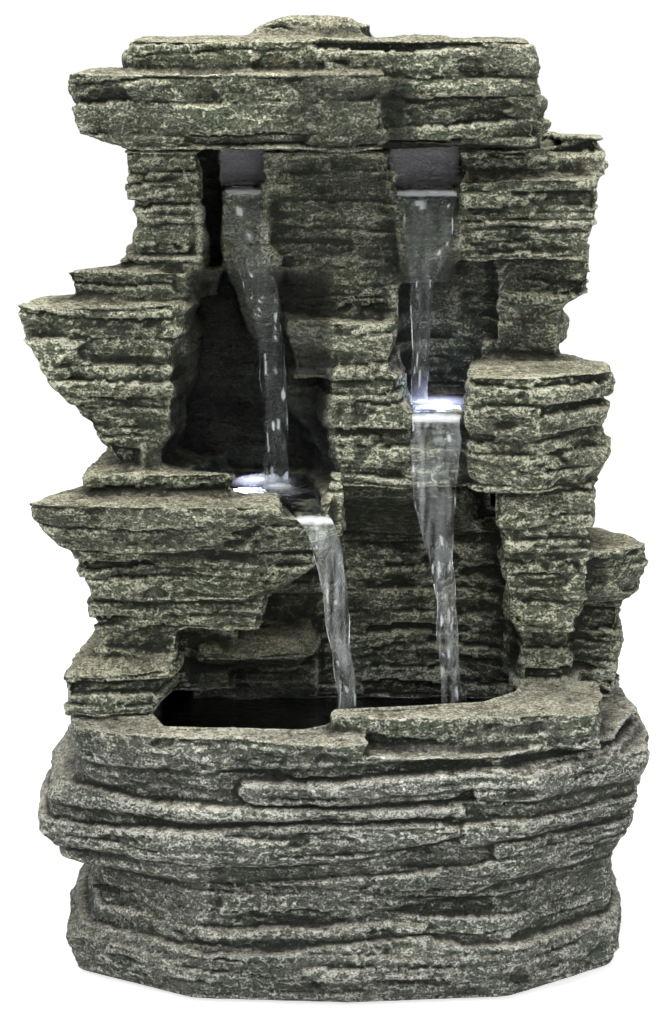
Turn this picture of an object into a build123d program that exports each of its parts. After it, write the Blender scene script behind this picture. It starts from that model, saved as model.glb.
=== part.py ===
from build123d import *
import os
from math import radians, tan

# Tabletop water fountain: hollow stone-look resin castings, a submersible pump in the
# basin, two hoses to the top outlets and a light under each of the two middle pools.
# Millimetres, +Z up, front towards -Y, origin at the middle of the footprint.

# Overall sizes
WIDTH = 270.0
DEPTH = 200.0
BASE_HEIGHT = 113.0
TOWER_HEIGHT = 232.0
CAP_HEIGHT = 55.0

# Resin castings
FLOOR_THICKNESS = 9.0
WEB_THICKNESS = 13.0
REAR_THICKNESS = 9.0
POOL_DEPTH = 11.0
NOTCH_HEIGHT = 17.0
OUTLET_DEPTH = 7.0

# Feet
FOOT_HEIGHT = 1.0
FOOT_RADIUS = 9.0
FOOT_POCKET = 2.0

# Service door in the back
DOOR_WIDTH = 92.0
DOOR_HEIGHT = 90.0
DOOR_REBATE = 4.0
DOOR_CLEARANCE = 0.5
DOOR_SLAB = 4.0
DOOR_PLUG = 3.5
GRIP_WIDTH = 26.0
GRIP_HEIGHT = 9.0

# Pump
PUMP_LENGTH = 46.0
PUMP_WIDTH = 40.0
PUMP_HEIGHT = 46.0
PUMP_WALL = 2.0
CUP_HEIGHT = 6.0
CUP_RADIUS = 6.0
AXIS_ABOVE_PUMP_BASE = 16.5
VOLUTE_RADIUS = 13.0
VOLUTE_DEPTH = 10.0
ROTOR_BORE = 8.6
ROTOR_LENGTH = 22.0
MAGNET_RADIUS = 8.0
SHAFT_RADIUS = 1.5
RUNNING_CLEARANCE = 0.05
PUMP_CORNER = 5.0
NECK_LENGTH = 3.0
ROTOR_TUBE_WALL = 1.5
CORE_THICKNESS = 8.0
CORE_BAR = 6.0
COIL_BUILD = 3.5
NOZZLE_COLLAR = 2.0
GLAND_RADIUS = 3.2
GLAND_HEAD_RADIUS = 5.0
GLAND_HEAD = 4.0
BUSH_RADIUS = 3.5
EYE_RADIUS = 8.0
BUSH_LENGTH = 4.0
BLADE_COUNT = 6
BLADE_RADIUS = 11.5
HUB_RADIUS = 4.0
INTAKE_LENGTH = 15.0
INTAKE_SLOTS = 7
DIAL_RADIUS = 6.5
DIAL_PIN_RADIUS = 2.0
DIAL_THICKNESS = 2.6
PORT_RADIUS = 1.2

# Water hoses
HOSE_BORE_RADIUS = 4.0
HOSE_RADIUS = 5.5
TUBE_BORE_RADIUS = 2.8
HOSE_FIT = 0.05
HOSE_GRIP = 10.0
SPLITTER_BLOCK = 10.0
SPIGOT_BEND = 8.0
SPLITTER_SPACING = 24.0

# Lights
LIGHT_RADIUS = 9.0
LIGHT_HEIGHT = 9.0
LIGHT_WALL = 1.5
BOARD_THICKNESS = 1.2
LENS_RISE = 1.5
POCKET_CLEARANCE = 0.2

# Leads
LEAD_RADIUS = 1.3
PUMP_LEAD_RADIUS = 2.0
LEAD_CLEARANCE = 0.05
GROMMET_RADIUS = 3.0
GROMMET_FLANGE = 1.5

# Junction box and power inlet
BOX_WIDTH = 30.0
BOX_DEPTH = 16.0
BOX_HEIGHT = 22.0
BOX_WALL = 1.8
SCREW_RADIUS = 1.2
INLET_BARREL_RADIUS = 4.0
INLET_FLANGE_RADIUS = 6.0
INLET_BORE_RADIUS = 2.75
INLET_PIN_RADIUS = 1.05
INLET_DEPTH = 9.0
INLET_BODY = 17.0
INLET_INSET = 2.0
NUT_RADIUS = 6.0
NUT_THICKNESS = 2.5
BOSS_RADIUS = 2.9
SCREW_HEAD_RADIUS = 2.4

FIT = 0.15


# ---------------------------------------------------------------- placing and primitives

# The rock outlines are drawn on a master 270 wide, 200 deep, with its rim at 113, the
# cap's seat at 345 and its top at 400; across, back and rise take them to the real size.
def across(x):
    return x * WIDTH / 270


def back(y):
    return y * DEPTH / 200


def rise(z):
    if z <= 113:
        return FOOT_HEIGHT + (z - 1) * (BASE_HEIGHT - FOOT_HEIGHT) / 112
    if z <= 345:
        return BASE_HEIGHT + (z - 113) * TOWER_HEIGHT / 232
    return BASE_HEIGHT + TOWER_HEIGHT + (z - 345) * CAP_HEIGHT / 55


def rock(*levels):
    """Convex block through closed outlines, each given as (height, [(x, y), ...])."""
    corners = [(across(x), back(y), rise(z)) for z, outline in levels for x, y in outline]
    return ConvexPolyhedron(corners)


def rock_between(outline, low, high):
    """Convex cutter on a master outline between two real heights."""
    corners = [(across(x), back(y), z) for z in (low, high) for x, y in outline]
    return ConvexPolyhedron(corners)


def ring(left, front, right, rear):
    """Eleven-sided footprint of the base, bulging to the front at its middle."""
    return [
        (left, 0), (left + 5, front * 0.60), (left * 0.52, front * 0.95), (4, front),
        (right * 0.58, front * 0.93), (right - 4, front * 0.54), (right, 0),
        (right - 5, rear * 0.66), (right * 0.72, rear), (left * 0.72, rear),
        (left + 5, rear * 0.66),
    ]


def span(x0, x1, y0, y1, z0, z1):
    """Box between two corners."""
    size = (x1 - x0, y1 - y0, z1 - z0)
    return Pos((x0 + x1) / 2, (y0 + y1) / 2, (z0 + z1) / 2) * Box(*size)


def rod(start, direction, radius, length):
    """Round bar from a point along a direction."""
    bar = Cylinder(radius, length, align=(Align.CENTER, Align.CENTER, Align.MIN))
    return Plane(origin=start, z_dir=direction) * bar


def arc_radii(points):
    """Largest comfortable arc at each corner of a route."""
    radii = []
    for before, corner, after in zip(points, points[1:], points[2:]):
        arriving = Vector(*corner) - Vector(*before)
        leaving = Vector(*after) - Vector(*corner)
        half_turn = radians(arriving.get_angle(leaving) / 2)
        radii.append(0.45 * min(arriving.length, leaving.length) / tan(half_turn))
    return radii


def routed(name, points, radius, bore=0.0):
    """Cable or hose along straight runs joined by tangent arcs."""
    radii = arc_radii(points)
    print(name, "bend radii", [round(r, 1) for r in radii])
    path = FilletPolyline(*points, radius=radii)
    start = Plane(origin=path @ 0, z_dir=path % 0)
    solid = sweep(start * Circle(radius), path)
    if bore:
        solid -= sweep(start * Circle(bore), path)
    return solid


def union(pieces):
    total = pieces[0]
    for piece in pieces[1:]:
        total += piece
    return total


def save(name, shape):
    export_step(shape, f"parts/{name}.step")


# ---------------------------------------------------------------- shared places

FLOOR = FOOT_HEIGHT + FLOOR_THICKNESS
TOWER_TOP = BASE_HEIGHT + TOWER_HEIGHT

# Service shaft: the hollow behind the web that carries hoses and leads
SHAFT_LEFT = across(-82)
SHAFT_RIGHT = across(84)
SHAFT_FRONT = back(25)
SHAFT_BACK = back(86)
WEB_FRONT = SHAFT_FRONT - WEB_THICKNESS
REAR_FACE = SHAFT_BACK + REAR_THICKNESS

# The notches under the cap that the water leaves by
NOTCH_SILL = TOWER_TOP - NOTCH_HEIGHT
OUTLET_FLOOR = NOTCH_SILL - OUTLET_DEPTH
OUTLET_BACK = back(25) - 10
NOTCHES = {
    "left": (across(-49), across(-32)),
    "right": (across(23), across(49)),
}
SPIGOT_Z = OUTLET_FLOOR + HOSE_BORE_RADIUS + 0.5

# Middle pools
LEFT_SILL = rise(204)
RIGHT_SILL = rise(240)
LEFT_POOL_FLOOR = LEFT_SILL - POOL_DEPTH
RIGHT_POOL_FLOOR = RIGHT_SILL - POOL_DEPTH + 3
LIGHTS = {
    "left": (across(-38), back(-12), LEFT_POOL_FLOOR),
    "right": (across(42), back(-17), RIGHT_POOL_FLOOR),
}
LIGHT_POCKET = LIGHT_HEIGHT + POCKET_CLEARANCE

# Pump: its shaft lies along X and the hoses stand over its outlet
HOSE_Y = (SHAFT_FRONT + SHAFT_BACK) / 2 - 5
PUMP_X = -VOLUTE_DEPTH / 2 - 3
PUMP_BASE = FLOOR + CUP_HEIGHT
PUMP_AXIS = PUMP_BASE + AXIS_ABOVE_PUMP_BASE
PUMP_TOP = PUMP_BASE + PUMP_HEIGHT
PUMP_END = PUMP_X + PUMP_LENGTH

# Power and wiring
BOX_X = SHAFT_RIGHT - 26
BOX_Z = rise(165)
BOX_FRONT = SHAFT_FRONT
BOX_BACK = BOX_FRONT + BOX_DEPTH
LEAD_Y = BOX_FRONT + BOX_DEPTH / 2
LEFT_ENTRY_Z = BOX_Z + BOX_HEIGHT - 7
PUMP_ENTRY_X = BOX_X - 4
INLET_X = SHAFT_RIGHT - 16
INLET_Z = rise(128)
DOOR_Z = rise(168)


# ---------------------------------------------------------------- base: basin and plinth

FEET = [(across(x), back(y)) for x, y in ((-78, -52), (84, -52), (-78, 62), (84, 62))]


def base_casting():
    foot = rock((1, ring(-118, -100, 122, 93)), (14, ring(-120, -99, 122, 95)),
                (36, ring(-110, -91, 125, 92)))
    recess = rock((33, ring(-107, -89, 120, 90)), (55, ring(-113, -91, 124, 91)))
    bulge = rock((49, ring(-123, -92, 126, 92)), (62, ring(-132, -97, 128, 97)),
                 (77, ring(-130, -99, 132, 100)), (84, ring(-123, -98, 134, 99)),
                 (90, ring(-114, -98, 135, 98)), (97, ring(-110, -97, 133, 96)))
    rim = [(-115, -30), (-110, -70), (-96, -81), (-73, -88), (-4, -100), (10, -99),
           (10, 94), (-86, 94), (-110, 62)]
    left_rim = rock((88, rim), (113, rim))
    shelf = [(5, -99), (66, -92), (116, -60), (128, -20), (124, 60), (96, 94), (5, 94)]
    right_rim = rock((95, shelf), (106, shelf))
    lip = [(-4, -76), (25, -83), (66, -81), (108, -74), (113, -30), (112, -22), (5, -22)]
    raised_lip = rock((102, lip), (119, [(x * 0.99, y * 0.98) for x, y in lip]))
    back_rim = rock((100, [(0, 30), (114, 30), (110, 60), (90, 94), (0, 94)]),
                    (113, [(0, 30), (113, 30), (108, 60), (88, 94), (0, 94)]))
    shell = union([foot, recess, bulge, left_rim, right_rim, raised_lip, back_rim])

    low_pool = rock((30, ring(-97, -79, 108, 80)), (54, ring(-101, -81, 112, 81)))
    low_pool += rock((52, ring(-111, -83, 116, 83)), (92, ring(-106, -85, 116, 84)))
    low_pool += span(across(-94), across(104), back(-46), back(62), FLOOR, rise(40))
    low_pool += span(across(-70), across(76), back(50), back(78), FLOOR, rise(40))
    mouth = [(-78, -52), (-72, -72), (-16, -77), (-4, -68), (3, -61), (59, -56),
             (74, -39), (80, -13), (80, 70), (-78, 70)]
    for corner in ([mouth[0], mouth[1], mouth[2], mouth[3], (-4, 70), mouth[9]],
                   [mouth[3], mouth[4], mouth[5], mouth[6], mouth[7], mouth[8], (-6, 70)]):
        low_pool += rock((88, corner), (124, corner))
    shell -= low_pool
    for x, y in FEET:
        pocket = rod((x, y, FOOT_HEIGHT), (0, 0, 1), FOOT_RADIUS + FIT, FOOT_POCKET)
        shell -= pocket
    return shell


def base_feet():
    pads = [rod((x, y, 0), (0, 0, 1), FOOT_RADIUS, FOOT_HEIGHT + FOOT_POCKET) for x, y in FEET]
    return Compound([fillet(pad.edges().group_by(Axis.Z)[0], 0.8) for pad in pads])


# ---------------------------------------------------------------- tower: ledges and web

def left_ledges():
    big = rock((284, [(-135, -42), (-98, -46), (-65, -44), (-58, -8), (-112, -6), (-130, -20)]),
               (272, [(-134, -40), (-60, 40), (-112, 42), (-124, 6)]),
               (262, [(-128, -44), (-66, -46), (-60, 0), (-64, 40), (-106, 42)]),
               (213, [(-93, -37), (-74, -37), (-70, 12), (-90, 14)]))
    thin = rock((283, [(-113, -24), (-70, -28), (-50, -12), (-50, 40), (-98, 40)]),
                (296, [(-116, -26), (-67, -30), (-50, -14), (-50, 30), (-98, 2)]))
    column = rock((296, [(-86, -22), (-57, -22), (-54, 86), (-88, 86)]),
                  (310, [(-87, -21), (-57, -22), (-54, 86), (-88, 86)]),
                  (315, [(-80, -18), (-58, -20), (-54, 86), (-86, 86)]))
    column_top = rock((312, [(-81, -20), (-58, -22), (-54, 86), (-86, 86)]),
                      (326, [(-89, -21), (-58, -22), (-54, 86), (-90, 86)]),
                      (345, [(-91, -21), (-58, -21), (-54, 86), (-92, 86)]))
    mid = rock((206, [(-129, -63), (-122, -72), (-77, -77), (-17, -75), (-3, -66), (-3, -28),
                      (-20, 14), (-90, -8), (-112, -40)]),
               (198, [(-130, -61), (-96, 42), (-108, 0)]),
               (184, [(-116, -58), (-77, -70), (-6, -62), (-5, -28), (-20, 14), (-92, 42),
                      (-104, 10)]))
    side_slab = rock((196, [(-100, 18), (-106, 40), (-104, 78), (-90, 84), (-90, 20)]),
                     (170, [(-100, 22), (-103, 76), (-90, 82), (-90, 22)]))
    side_low = rock((166, [(-98, 10), (-108, 34), (-107, 70), (-90, 80), (-90, 12)]),
                    (128, [(-98, 16), (-104, 36), (-104, 72), (-90, 80), (-90, 16)]))
    side_high = rock((268, [(-92, 44), (-102, 52), (-100, 82), (-84, 84), (-84, 44)]),
                     (224, [(-90, 40), (-97, 50), (-97, 80), (-84, 84), (-84, 44)]))
    plate = rock((204, [(-105, -46), (-66, -50), (-43, -46), (-60, -28), (-64, 12), (-100, 22)]),
                 (215, [(-108, -48), (-66, -52), (-41, -47), (-60, -28), (-64, 10), (-100, 22)]))
    stone = rock((188, [(-6, -58), (3, -58), (3, -38), (-6, -38)]),
                 (215, [(-5, -56), (2, -57), (2, -40), (-5, -40)]))
    third = rock((187, [(-113, -56), (-41, -62), (-7, -55), (-6, -28), (-30, 12), (-100, 22)]),
                 (178, [(-111, -56), (-41, -62), (-7, -54), (-8, -28), (-30, 12), (-100, 22)]),
                 (161, [(-104, -53), (-42, -57), (-26, -38), (-38, 12), (-98, 22)]))
    fourth = rock((165, [(-107, -49), (-30, -52), (-28, 12), (-100, 24)]),
                  (147, [(-104, -48), (-33, -50), (-30, 12), (-100, 24)]))
    fifth = rock((150, [(-104, -46), (-66, -49), (-62, 12), (-102, 24)]),
                 (134, [(-100, -44), (-68, -47), (-64, 12), (-98, 24)]))
    lowest = rock((136, [(-106, -50), (-67, -48), (-64, 12), (-106, 24)]),
                  (130, [(-117, -58), (-99, -62), (-69, -54), (-64, 12), (-108, 24)]),
                  (113, [(-116, -60), (-98, -62), (-77, -56), (-66, 12), (-110, 24)]))
    boulder = rock((137, [(-60, -18), (-18, -18), (-12, 0), (-12, 14), (-60, 14)]),
                   (130, [(-64, -26), (-40, -32), (-14, -26), (-8, -8), (-8, 14), (-64, 14)]),
                   (121, [(-60, -14), (-20, -14), (-12, 14), (-60, 14)]))
    pier = rock((113, [(-102, -20), (-44, -20), (-44, 86), (-100, 86)]),
                (212, [(-98, -20), (-48, -20), (-48, 86), (-97, 86)]))
    upper_pier = rock((208, [(-94, -8), (-66, -10), (-60, 86), (-94, 86)]),
                      (300, [(-93, -8), (-62, -10), (-58, 86), (-93, 86)]))
    return [big, thin, column, column_top, mid, plate, stone, third, fourth, fifth, lowest,
            boulder, pier, upper_pier, side_slab, side_low, side_high]


def centre_column():
    head = rock((345, [(-32, -16), (23, -18), (24, 24), (-33, 24)]),
                (300, [(-31, -14), (23, -15), (24, 24), (-33, 24)]),
                (272, [(-27, -13), (26, -14), (26, 24), (-30, 24)]))
    waist = rock((276, [(-22, -36), (23, -37), (26, 6), (-27, 6)]),
                 (252, [(-20, -36), (22, -37), (26, 6), (-25, 6)]))
    neck = rock((273, [(-27, -10), (25, -12), (30, 24), (-28, 24)]),
                (238, [(-23, -8), (26, -12), (30, 24), (-24, 24)]),
                (205, [(-6, -8), (30, -12), (34, 24), (-16, 24)]))
    stack = rock((254, [(-5, -35), (25, -40), (29, -14), (28, 12), (-12, 12)]),
                 (228, [(-7, -35), (28, -40), (30, -12), (30, 12), (-10, 12)]),
                 (205, [(1, -36), (28, -41), (30, -10), (32, 12), (-6, 12)]))
    soffit = rock((206, [(-8, -26), (40, -28), (62, 24), (-30, 24)]),
                  (177, [(-26, 8), (66, 6), (66, 24), (-30, 24)]))
    left_chute = rock((328, [(-50, -12), (-30, -12), (-30, 24), (-51, 24)]),
                      (300, [(-49, -20), (-25, -20), (-25, 24), (-50, 24)]),
                      (264, [(-37, -17), (-23, -17), (-23, 24), (-40, 24)]))
    right_chute = rock((328, [(22, -15), (52, -15), (53, 24), (22, 24)]),
                       (304, [(24, -24), (51, -24), (53, 24), (24, 24)]),
                       (289, [(26, -18), (46, -16), (50, 24), (26, 24)]))
    recess_back = rock((330, [(20, 7), (72, 7), (72, 24), (20, 24)]),
                       (204, [(20, 7), (72, 7), (72, 24), (20, 24)]))
    pool = rock((240, [(26, -44), (56, -46), (62, 12), (24, 12)]),
                (224, [(27, -42), (55, -44), (62, 12), (24, 12)]),
                (205, [(28, -39), (53, -40), (62, 12), (26, 12)]))
    web = span(across(-66), across(78), WEB_FRONT, SHAFT_FRONT, rise(100), TOWER_TOP)
    return [head, waist, neck, stack, soffit, left_chute, right_chute, recess_back, pool, web]


def right_ledges():
    shoulder = rock((333, [(90, -7), (113, -8), (114, 40), (104, 86), (90, 86)]),
                    (344, [(113, -6), (113, 38), (102, 84), (90, 84)]),
                    (350, [(90, -7), (112, -8), (112, 2), (90, 4)]))
    under_cap = rock((333, [(50, -14), (92, -10), (92, 40), (50, 40)]),
                     (345, [(50, -12), (92, -8), (92, 40), (50, 40)]))
    column = rock((334, [(49, -20), (79, -26), (107, -22), (110, 40), (102, 86), (50, 86)]),
                  (322, [(51, -20), (79, -26), (109, -22), (110, 40), (100, 86), (50, 86)]),
                  (299, [(52, -20), (80, -25), (104, -20), (106, 40), (98, 86), (52, 86)]))
    flank = rock((300, [(66, 0), (108, -6), (110, 40), (98, 86), (66, 86)]),
                 (284, [(66, -1), (107, -6), (108, 40), (98, 86), (66, 86)]),
                 (276, [(66, 0), (95, -2), (100, 40), (96, 86), (66, 86)]))
    waist = rock((278, [(66, 0), (95, -2), (99, 40), (96, 86), (66, 86)]),
                 (255, [(66, 0), (94, -2), (99, 40), (96, 86), (66, 86)]))
    first = rock((257, [(51, -52), (55, -58), (83, -62), (113, -42), (114, -22), (56, -8)]),
                 (250, [(116, -36), (117, 6), (106, 34), (56, 12)]),
                 (246, [(50, -54), (83, -62), (115, -38), (116, 10), (106, 32), (56, 12)]),
                 (231, [(50, -53), (82, -60), (108, -36), (110, 10), (100, 30), (56, 12)]))
    second = rock((233, [(52, -50), (82, -56), (111, -36), (113, 10), (100, 30), (56, 12)]),
                  (220, [(50, -50), (58, -54), (83, -57), (115, -36), (116, 10), (102, 30),
                         (56, 12)]),
                  (206, [(52, -48), (60, -52), (84, -55), (108, -36), (110, 10), (60, 12)]))
    third = rock((208, [(66, -43), (107, -44), (110, 0), (108, 30), (66, 14)]),
                 (192, [(65, -46), (108, -47), (111, 0), (108, 30), (66, 14)]),
                 (179, [(70, -44), (106, -45), (109, 0), (106, 30), (68, 14)]))
    fourth = rock((182, [(70, -38), (104, -40), (107, 0), (106, 30), (68, 14)]),
                  (166, [(68, -40), (105, -43), (108, 0), (106, 30), (68, 14)]),
                  (157, [(71, -38), (106, -40), (108, 0), (106, 30), (70, 14)]))
    fifth = rock((160, [(72, -34), (102, -36), (106, 0), (104, 30), (70, 14)]),
                 (150, [(70, -35), (78, -38), (101, -37), (106, 0), (104, 30), (70, 14)]),
                 (141, [(76, -32), (98, -34), (104, 0), (104, 30), (72, 14)]))
    foot = rock((144, [(78, -16), (98, -16), (106, 30), (74, 30)]),
                (113, [(76, -20), (104, -20), (108, 30), (72, 30)]))
    rear_ledge = rock((179, [(100, -36), (116, -36), (128, -28), (131, -16), (112, -8)]),
                      (171, [(135, -12), (130, 22), (118, 50), (98, 56)]),
                      (162, [(102, -30), (118, -30), (134, -14), (131, 20), (118, 50), (98, 56)]),
                      (151, [(102, -18), (124, -16), (126, 18), (114, 48), (98, 54)]))
    rear_column = rock((154, [(98, -4), (123, -8), (126, 18), (116, 50), (96, 56)]),
                       (130, [(98, -2), (120, -6), (122, 18), (114, 50), (96, 56)]),
                       (104, [(98, -4), (120, -8), (124, 18), (116, 50), (96, 56)]))
    pier = rock((113, [(72, 4), (102, 4), (106, 40), (104, 86), (60, 86)]),
                (232, [(70, 4), (104, 4), (108, 40), (104, 86), (60, 86)]))
    upper_pier = rock((230, [(60, 2), (95, 0), (99, 40), (97, 86), (58, 86)]),
                      (262, [(60, 2), (93, 0), (98, 40), (96, 86), (58, 86)]))
    side_slab = rock((246, [(100, 24), (112, 34), (110, 74), (96, 84), (90, 24)]),
                     (206, [(100, 28), (110, 36), (107, 72), (96, 84), (90, 28)]))
    side_high = rock((330, [(104, 44), (110, 50), (106, 82), (96, 86), (96, 44)]),
                     (304, [(102, 44), (106, 52), (104, 82), (94, 86), (94, 44)]))
    return [shoulder, under_cap, side_slab, side_high, column, flank, waist, first, second, third, fourth,
            fifth, foot, rear_ledge, rear_column, pier, upper_pier]


def tower_hollows():
    """Moulded-out hollows that open into the service shaft."""
    yield span(SHAFT_LEFT, SHAFT_RIGHT, SHAFT_FRONT, SHAFT_BACK + 20, 0, TOWER_TOP + 1)
    front = SHAFT_FRONT + 5
    for x0, x1, y0, z0, z1 in (
        (-86, -54, -12, 122, 174), (-84, -68, -20, 170, 200), (-80, -68, -4, 266, 320),
        (-18, 12, 0, 258, 306), (66, 92, -6, 304, 336), (74, 90, 10, 264, 306),
        (66, 96, -28, 188, 248),
    ):
        yield span(across(x0), across(x1), back(y0), front, rise(z0), rise(z1))


def tower_casting(base):
    """Ledges, web and column, seated on the base's rim."""
    tower = union(left_ledges() + centre_column() + right_ledges())
    for hollow in tower_hollows():
        tower -= hollow

    left_pool = [(-60, -33), (-44, -42), (-22, -41), (-10, -30), (-13, 3), (-54, 5)]
    tower -= rock_between(left_pool, LEFT_POOL_FLOOR, LEFT_SILL + 14)
    spill = [(-24, -80), (-8, -80), (-9, -30), (-24, -30)]
    tower -= rock_between(spill, LEFT_SILL - 4, LEFT_SILL + 8)
    right_pool = [(32, -38), (52, -39), (54, 1), (32, 1)]
    tower -= rock_between(right_pool, RIGHT_POOL_FLOOR, RIGHT_SILL + 30)
    weir = [(30, -52), (50, -52), (50, -30), (32, -30)]
    tower -= rock_between(weir, RIGHT_SILL - 1.5, RIGHT_SILL + 5)

    for side, (x0, x1) in NOTCHES.items():
        middle = (x0 + x1) / 2
        tower -= span(x0, x1, back(-40), OUTLET_BACK, NOTCH_SILL, TOWER_TOP + 1)
        tower -= span(x0, x1, back(-4), OUTLET_BACK, OUTLET_FLOOR, TOWER_TOP)
        bore = HOSE_BORE_RADIUS + FIT
        tower -= rod((middle, back(0), SPIGOT_Z), (0, 1, 0), bore, SHAFT_FRONT + 2)

    for x, y, floor in LIGHTS.values():
        tower -= rod((x, y, floor - LIGHT_POCKET), (0, 0, 1), LIGHT_RADIUS + POCKET_CLEARANCE, 20)
        lead_z = floor - LIGHT_HEIGHT / 2
        tower -= rod((x, y, lead_z), (0, 1, 0), GROMMET_RADIUS + FIT, SHAFT_FRONT - y + 1)
    return tower - base


# ---------------------------------------------------------------- cap

def cap_casting():
    seat = rock((345, [(-90, -20), (84, -20), (84, 92), (-90, 92)]),
                (352, [(-94, -30), (85, -30), (85, 94), (-92, 94)]))
    face = rock((347, [(-88, -50), (-30, -58), (18, -54), (20, 70), (-85, 70), (-98, 10)]),
                (354, [(-107, -52), (-30, -61), (18, -57), (20, 78), (-90, 88), (-104, 10)]),
                (370, [(-110, -52), (-108, 10), (-92, 88), (21, 78)]),
                (379, [(-110, -54), (-100, -59), (-30, -62), (19, -58), (21, 0), (-100, -20)]))
    low_slab = rock((348, [(8, -40), (79, -44), (85, -10), (84, 90), (0, 90)]),
                    (366, [(8, -44), (86, -45), (89, -10), (86, 92), (0, 94)]))
    mid_slab = rock((365, [(10, -44), (83, -46), (86, -10), (84, 86), (0, 92)]),
                    (380, [(80, 84), (-40, 90)]),
                    (384, [(10, -45), (80, -46), (83, -10), (0, 0)]))
    top_slab = rock((376, [(-84, -40), (-40, -44), (77, -44), (80, -6), (74, 74), (-70, 80),
                           (-90, 30)]),
                    (384, [(-88, -42), (-64, -46), (22, -44), (80, -45), (82, -6), (76, 74),
                           (-74, 82), (-92, 30)]),
                    (392, [(-84, -40), (-64, -43), (22, -41), (76, -43), (77, -10), (-78, -8)]))
    knob = rock((386, [(-40, -4), (-12, -8), (12, -2), (18, 42), (-34, 48)]),
                (395, [(-36, -4), (-12, -7), (10, -2), (14, 34), (-30, 38)]),
                (400, [(-22, 0), (-12, -2), (4, 2), (4, 14), (-18, 16)]))
    cap = union([seat, face, low_slab, mid_slab, top_slab, knob])
    hollow = rock((344, [(-80, -2), (74, -2), (74, 80), (-80, 80)]),
                  (374, [(-76, -8), (68, -8), (66, 66), (-72, 66)]))
    return cap - hollow


# ---------------------------------------------------------------- rear casting and door

def rear_casting():
    y0 = SHAFT_BACK * 200 / DEPTH
    y1 = REAR_FACE * 200 / DEPTH
    lower = [(-100, y0), (104, y0), (102, y1), (-97, y1)]
    middle = [(-93, y0), (96, y0), (94, y1), (-91, y1)]
    upper = [(-92, y0), (100, y0), (98, y1), (-90, y1)]
    plate = rock((113, lower), (212, lower))
    plate += rock((210, middle), (300, middle))
    plate += rock((298, upper), (345, upper))
    y2 = 100
    for z0, z1, x0, x1 in ((113, 124, -92, 96), (128, 150, -96, 40), (146, 172, 10, 98),
                           (170, 190, -94, 60), (188, 214, -60, 98), (218, 236, -88, 20),
                           (232, 262, -30, 92), (260, 284, -86, 50), (282, 304, -20, 90),
                           (306, 324, -88, 30), (320, 343, -40, 94)):
        lift = (z1 - z0) * 0.3
        plate += rock((z0, [(x0 + 6, y1 - 1), (x1 - 6, y1 - 1), (x1 - 9, y1), (x0 + 9, y1)]),
                      (z1 - lift, [(x0, y1 - 1), (x1, y1 - 1), (x1 - 5, y2), (x0 + 5, y2)]),
                      (z1, [(x0 + 4, y1 - 1), (x1 - 4, y1 - 1), (x1 - 8, y2), (x0 + 8, y2)]))

    half_w = DOOR_WIDTH / 2
    half_h = DOOR_HEIGHT / 2
    seat = REAR_FACE - DOOR_SLAB
    plate -= span(-half_w, half_w, seat, back(101), DOOR_Z - half_h, DOOR_Z + half_h)
    inner_w = half_w - DOOR_REBATE
    inner_h = half_h - DOOR_REBATE
    plate -= span(-inner_w, inner_w, SHAFT_BACK - 1, REAR_FACE, DOOR_Z - inner_h,
                  DOOR_Z + inner_h)
    pad = INLET_FLANGE_RADIUS + 4
    plate -= span(INLET_X - pad, INLET_X + pad, REAR_FACE - INLET_INSET, back(101), INLET_Z - pad,
                  INLET_Z + pad)
    barrel = INLET_BARREL_RADIUS + FIT
    plate -= rod((INLET_X, SHAFT_BACK - 1, INLET_Z), (0, 1, 0), barrel, REAR_THICKNESS + 2)
    return plate


def service_door():
    half_w = DOOR_WIDTH / 2 - DOOR_CLEARANCE
    half_h = DOOR_HEIGHT / 2 - DOOR_CLEARANCE
    seat = REAR_FACE - DOOR_SLAB
    door = span(-half_w, half_w, seat, REAR_FACE, DOOR_Z - half_h, DOOR_Z + half_h)
    inner_w = half_w - DOOR_REBATE - DOOR_CLEARANCE
    inner_h = half_h - DOOR_REBATE - DOOR_CLEARANCE
    door += span(-inner_w, inner_w, seat - DOOR_PLUG, seat, DOOR_Z - inner_h, DOOR_Z + inner_h)
    y1 = REAR_FACE
    y2 = back(99.5)
    for low, high, x0, x1 in ((0.02, 0.30, 0.02, 0.70), (0.26, 0.58, 0.24, 0.98),
                              (0.52, 0.80, 0.02, 0.80), (0.76, 0.98, 0.30, 0.98)):
        left = -half_w + 2 * half_w * x0
        right = -half_w + 2 * half_w * x1
        bottom = DOOR_Z - half_h + 2 * half_h * low
        top = DOOR_Z - half_h + 2 * half_h * high
        door += ConvexPolyhedron([
            (left + 4, y1 - 1, bottom), (right - 4, y1 - 1, bottom),
            (left, y1 - 1, top), (right, y1 - 1, top),
            (left + 3, y2, top - 5), (right - 3, y2, top - 5),
            (left + 4, y2, top - 1), (right - 4, y2, top - 1),
        ])
    grip = span(-GRIP_WIDTH / 2, GRIP_WIDTH / 2, REAR_FACE - 2, back(101),
                DOOR_Z + half_h - GRIP_HEIGHT, DOOR_Z + half_h + 1)
    return door - grip


# ---------------------------------------------------------------- pump

COVER_X = PUMP_X - NECK_LENGTH
IMPELLER_X = PUMP_X + 2.5
MAGNET_X = PUMP_X + VOLUTE_DEPTH + 0.6
REAR_BUSH_X = PUMP_X + VOLUTE_DEPTH + ROTOR_LENGTH - 0.6
CORE_X = PUMP_X + VOLUTE_DEPTH + 9
BAR_Z = PUMP_AXIS + ROTOR_BORE + 8
GLAND_Z = PUMP_TOP - 12
DIAL_Z = PUMP_TOP - 12
CUPS = [(PUMP_X + x, HOSE_Y + y) for x in (6, PUMP_LENGTH - 10) for y in (-13, 13)]


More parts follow.
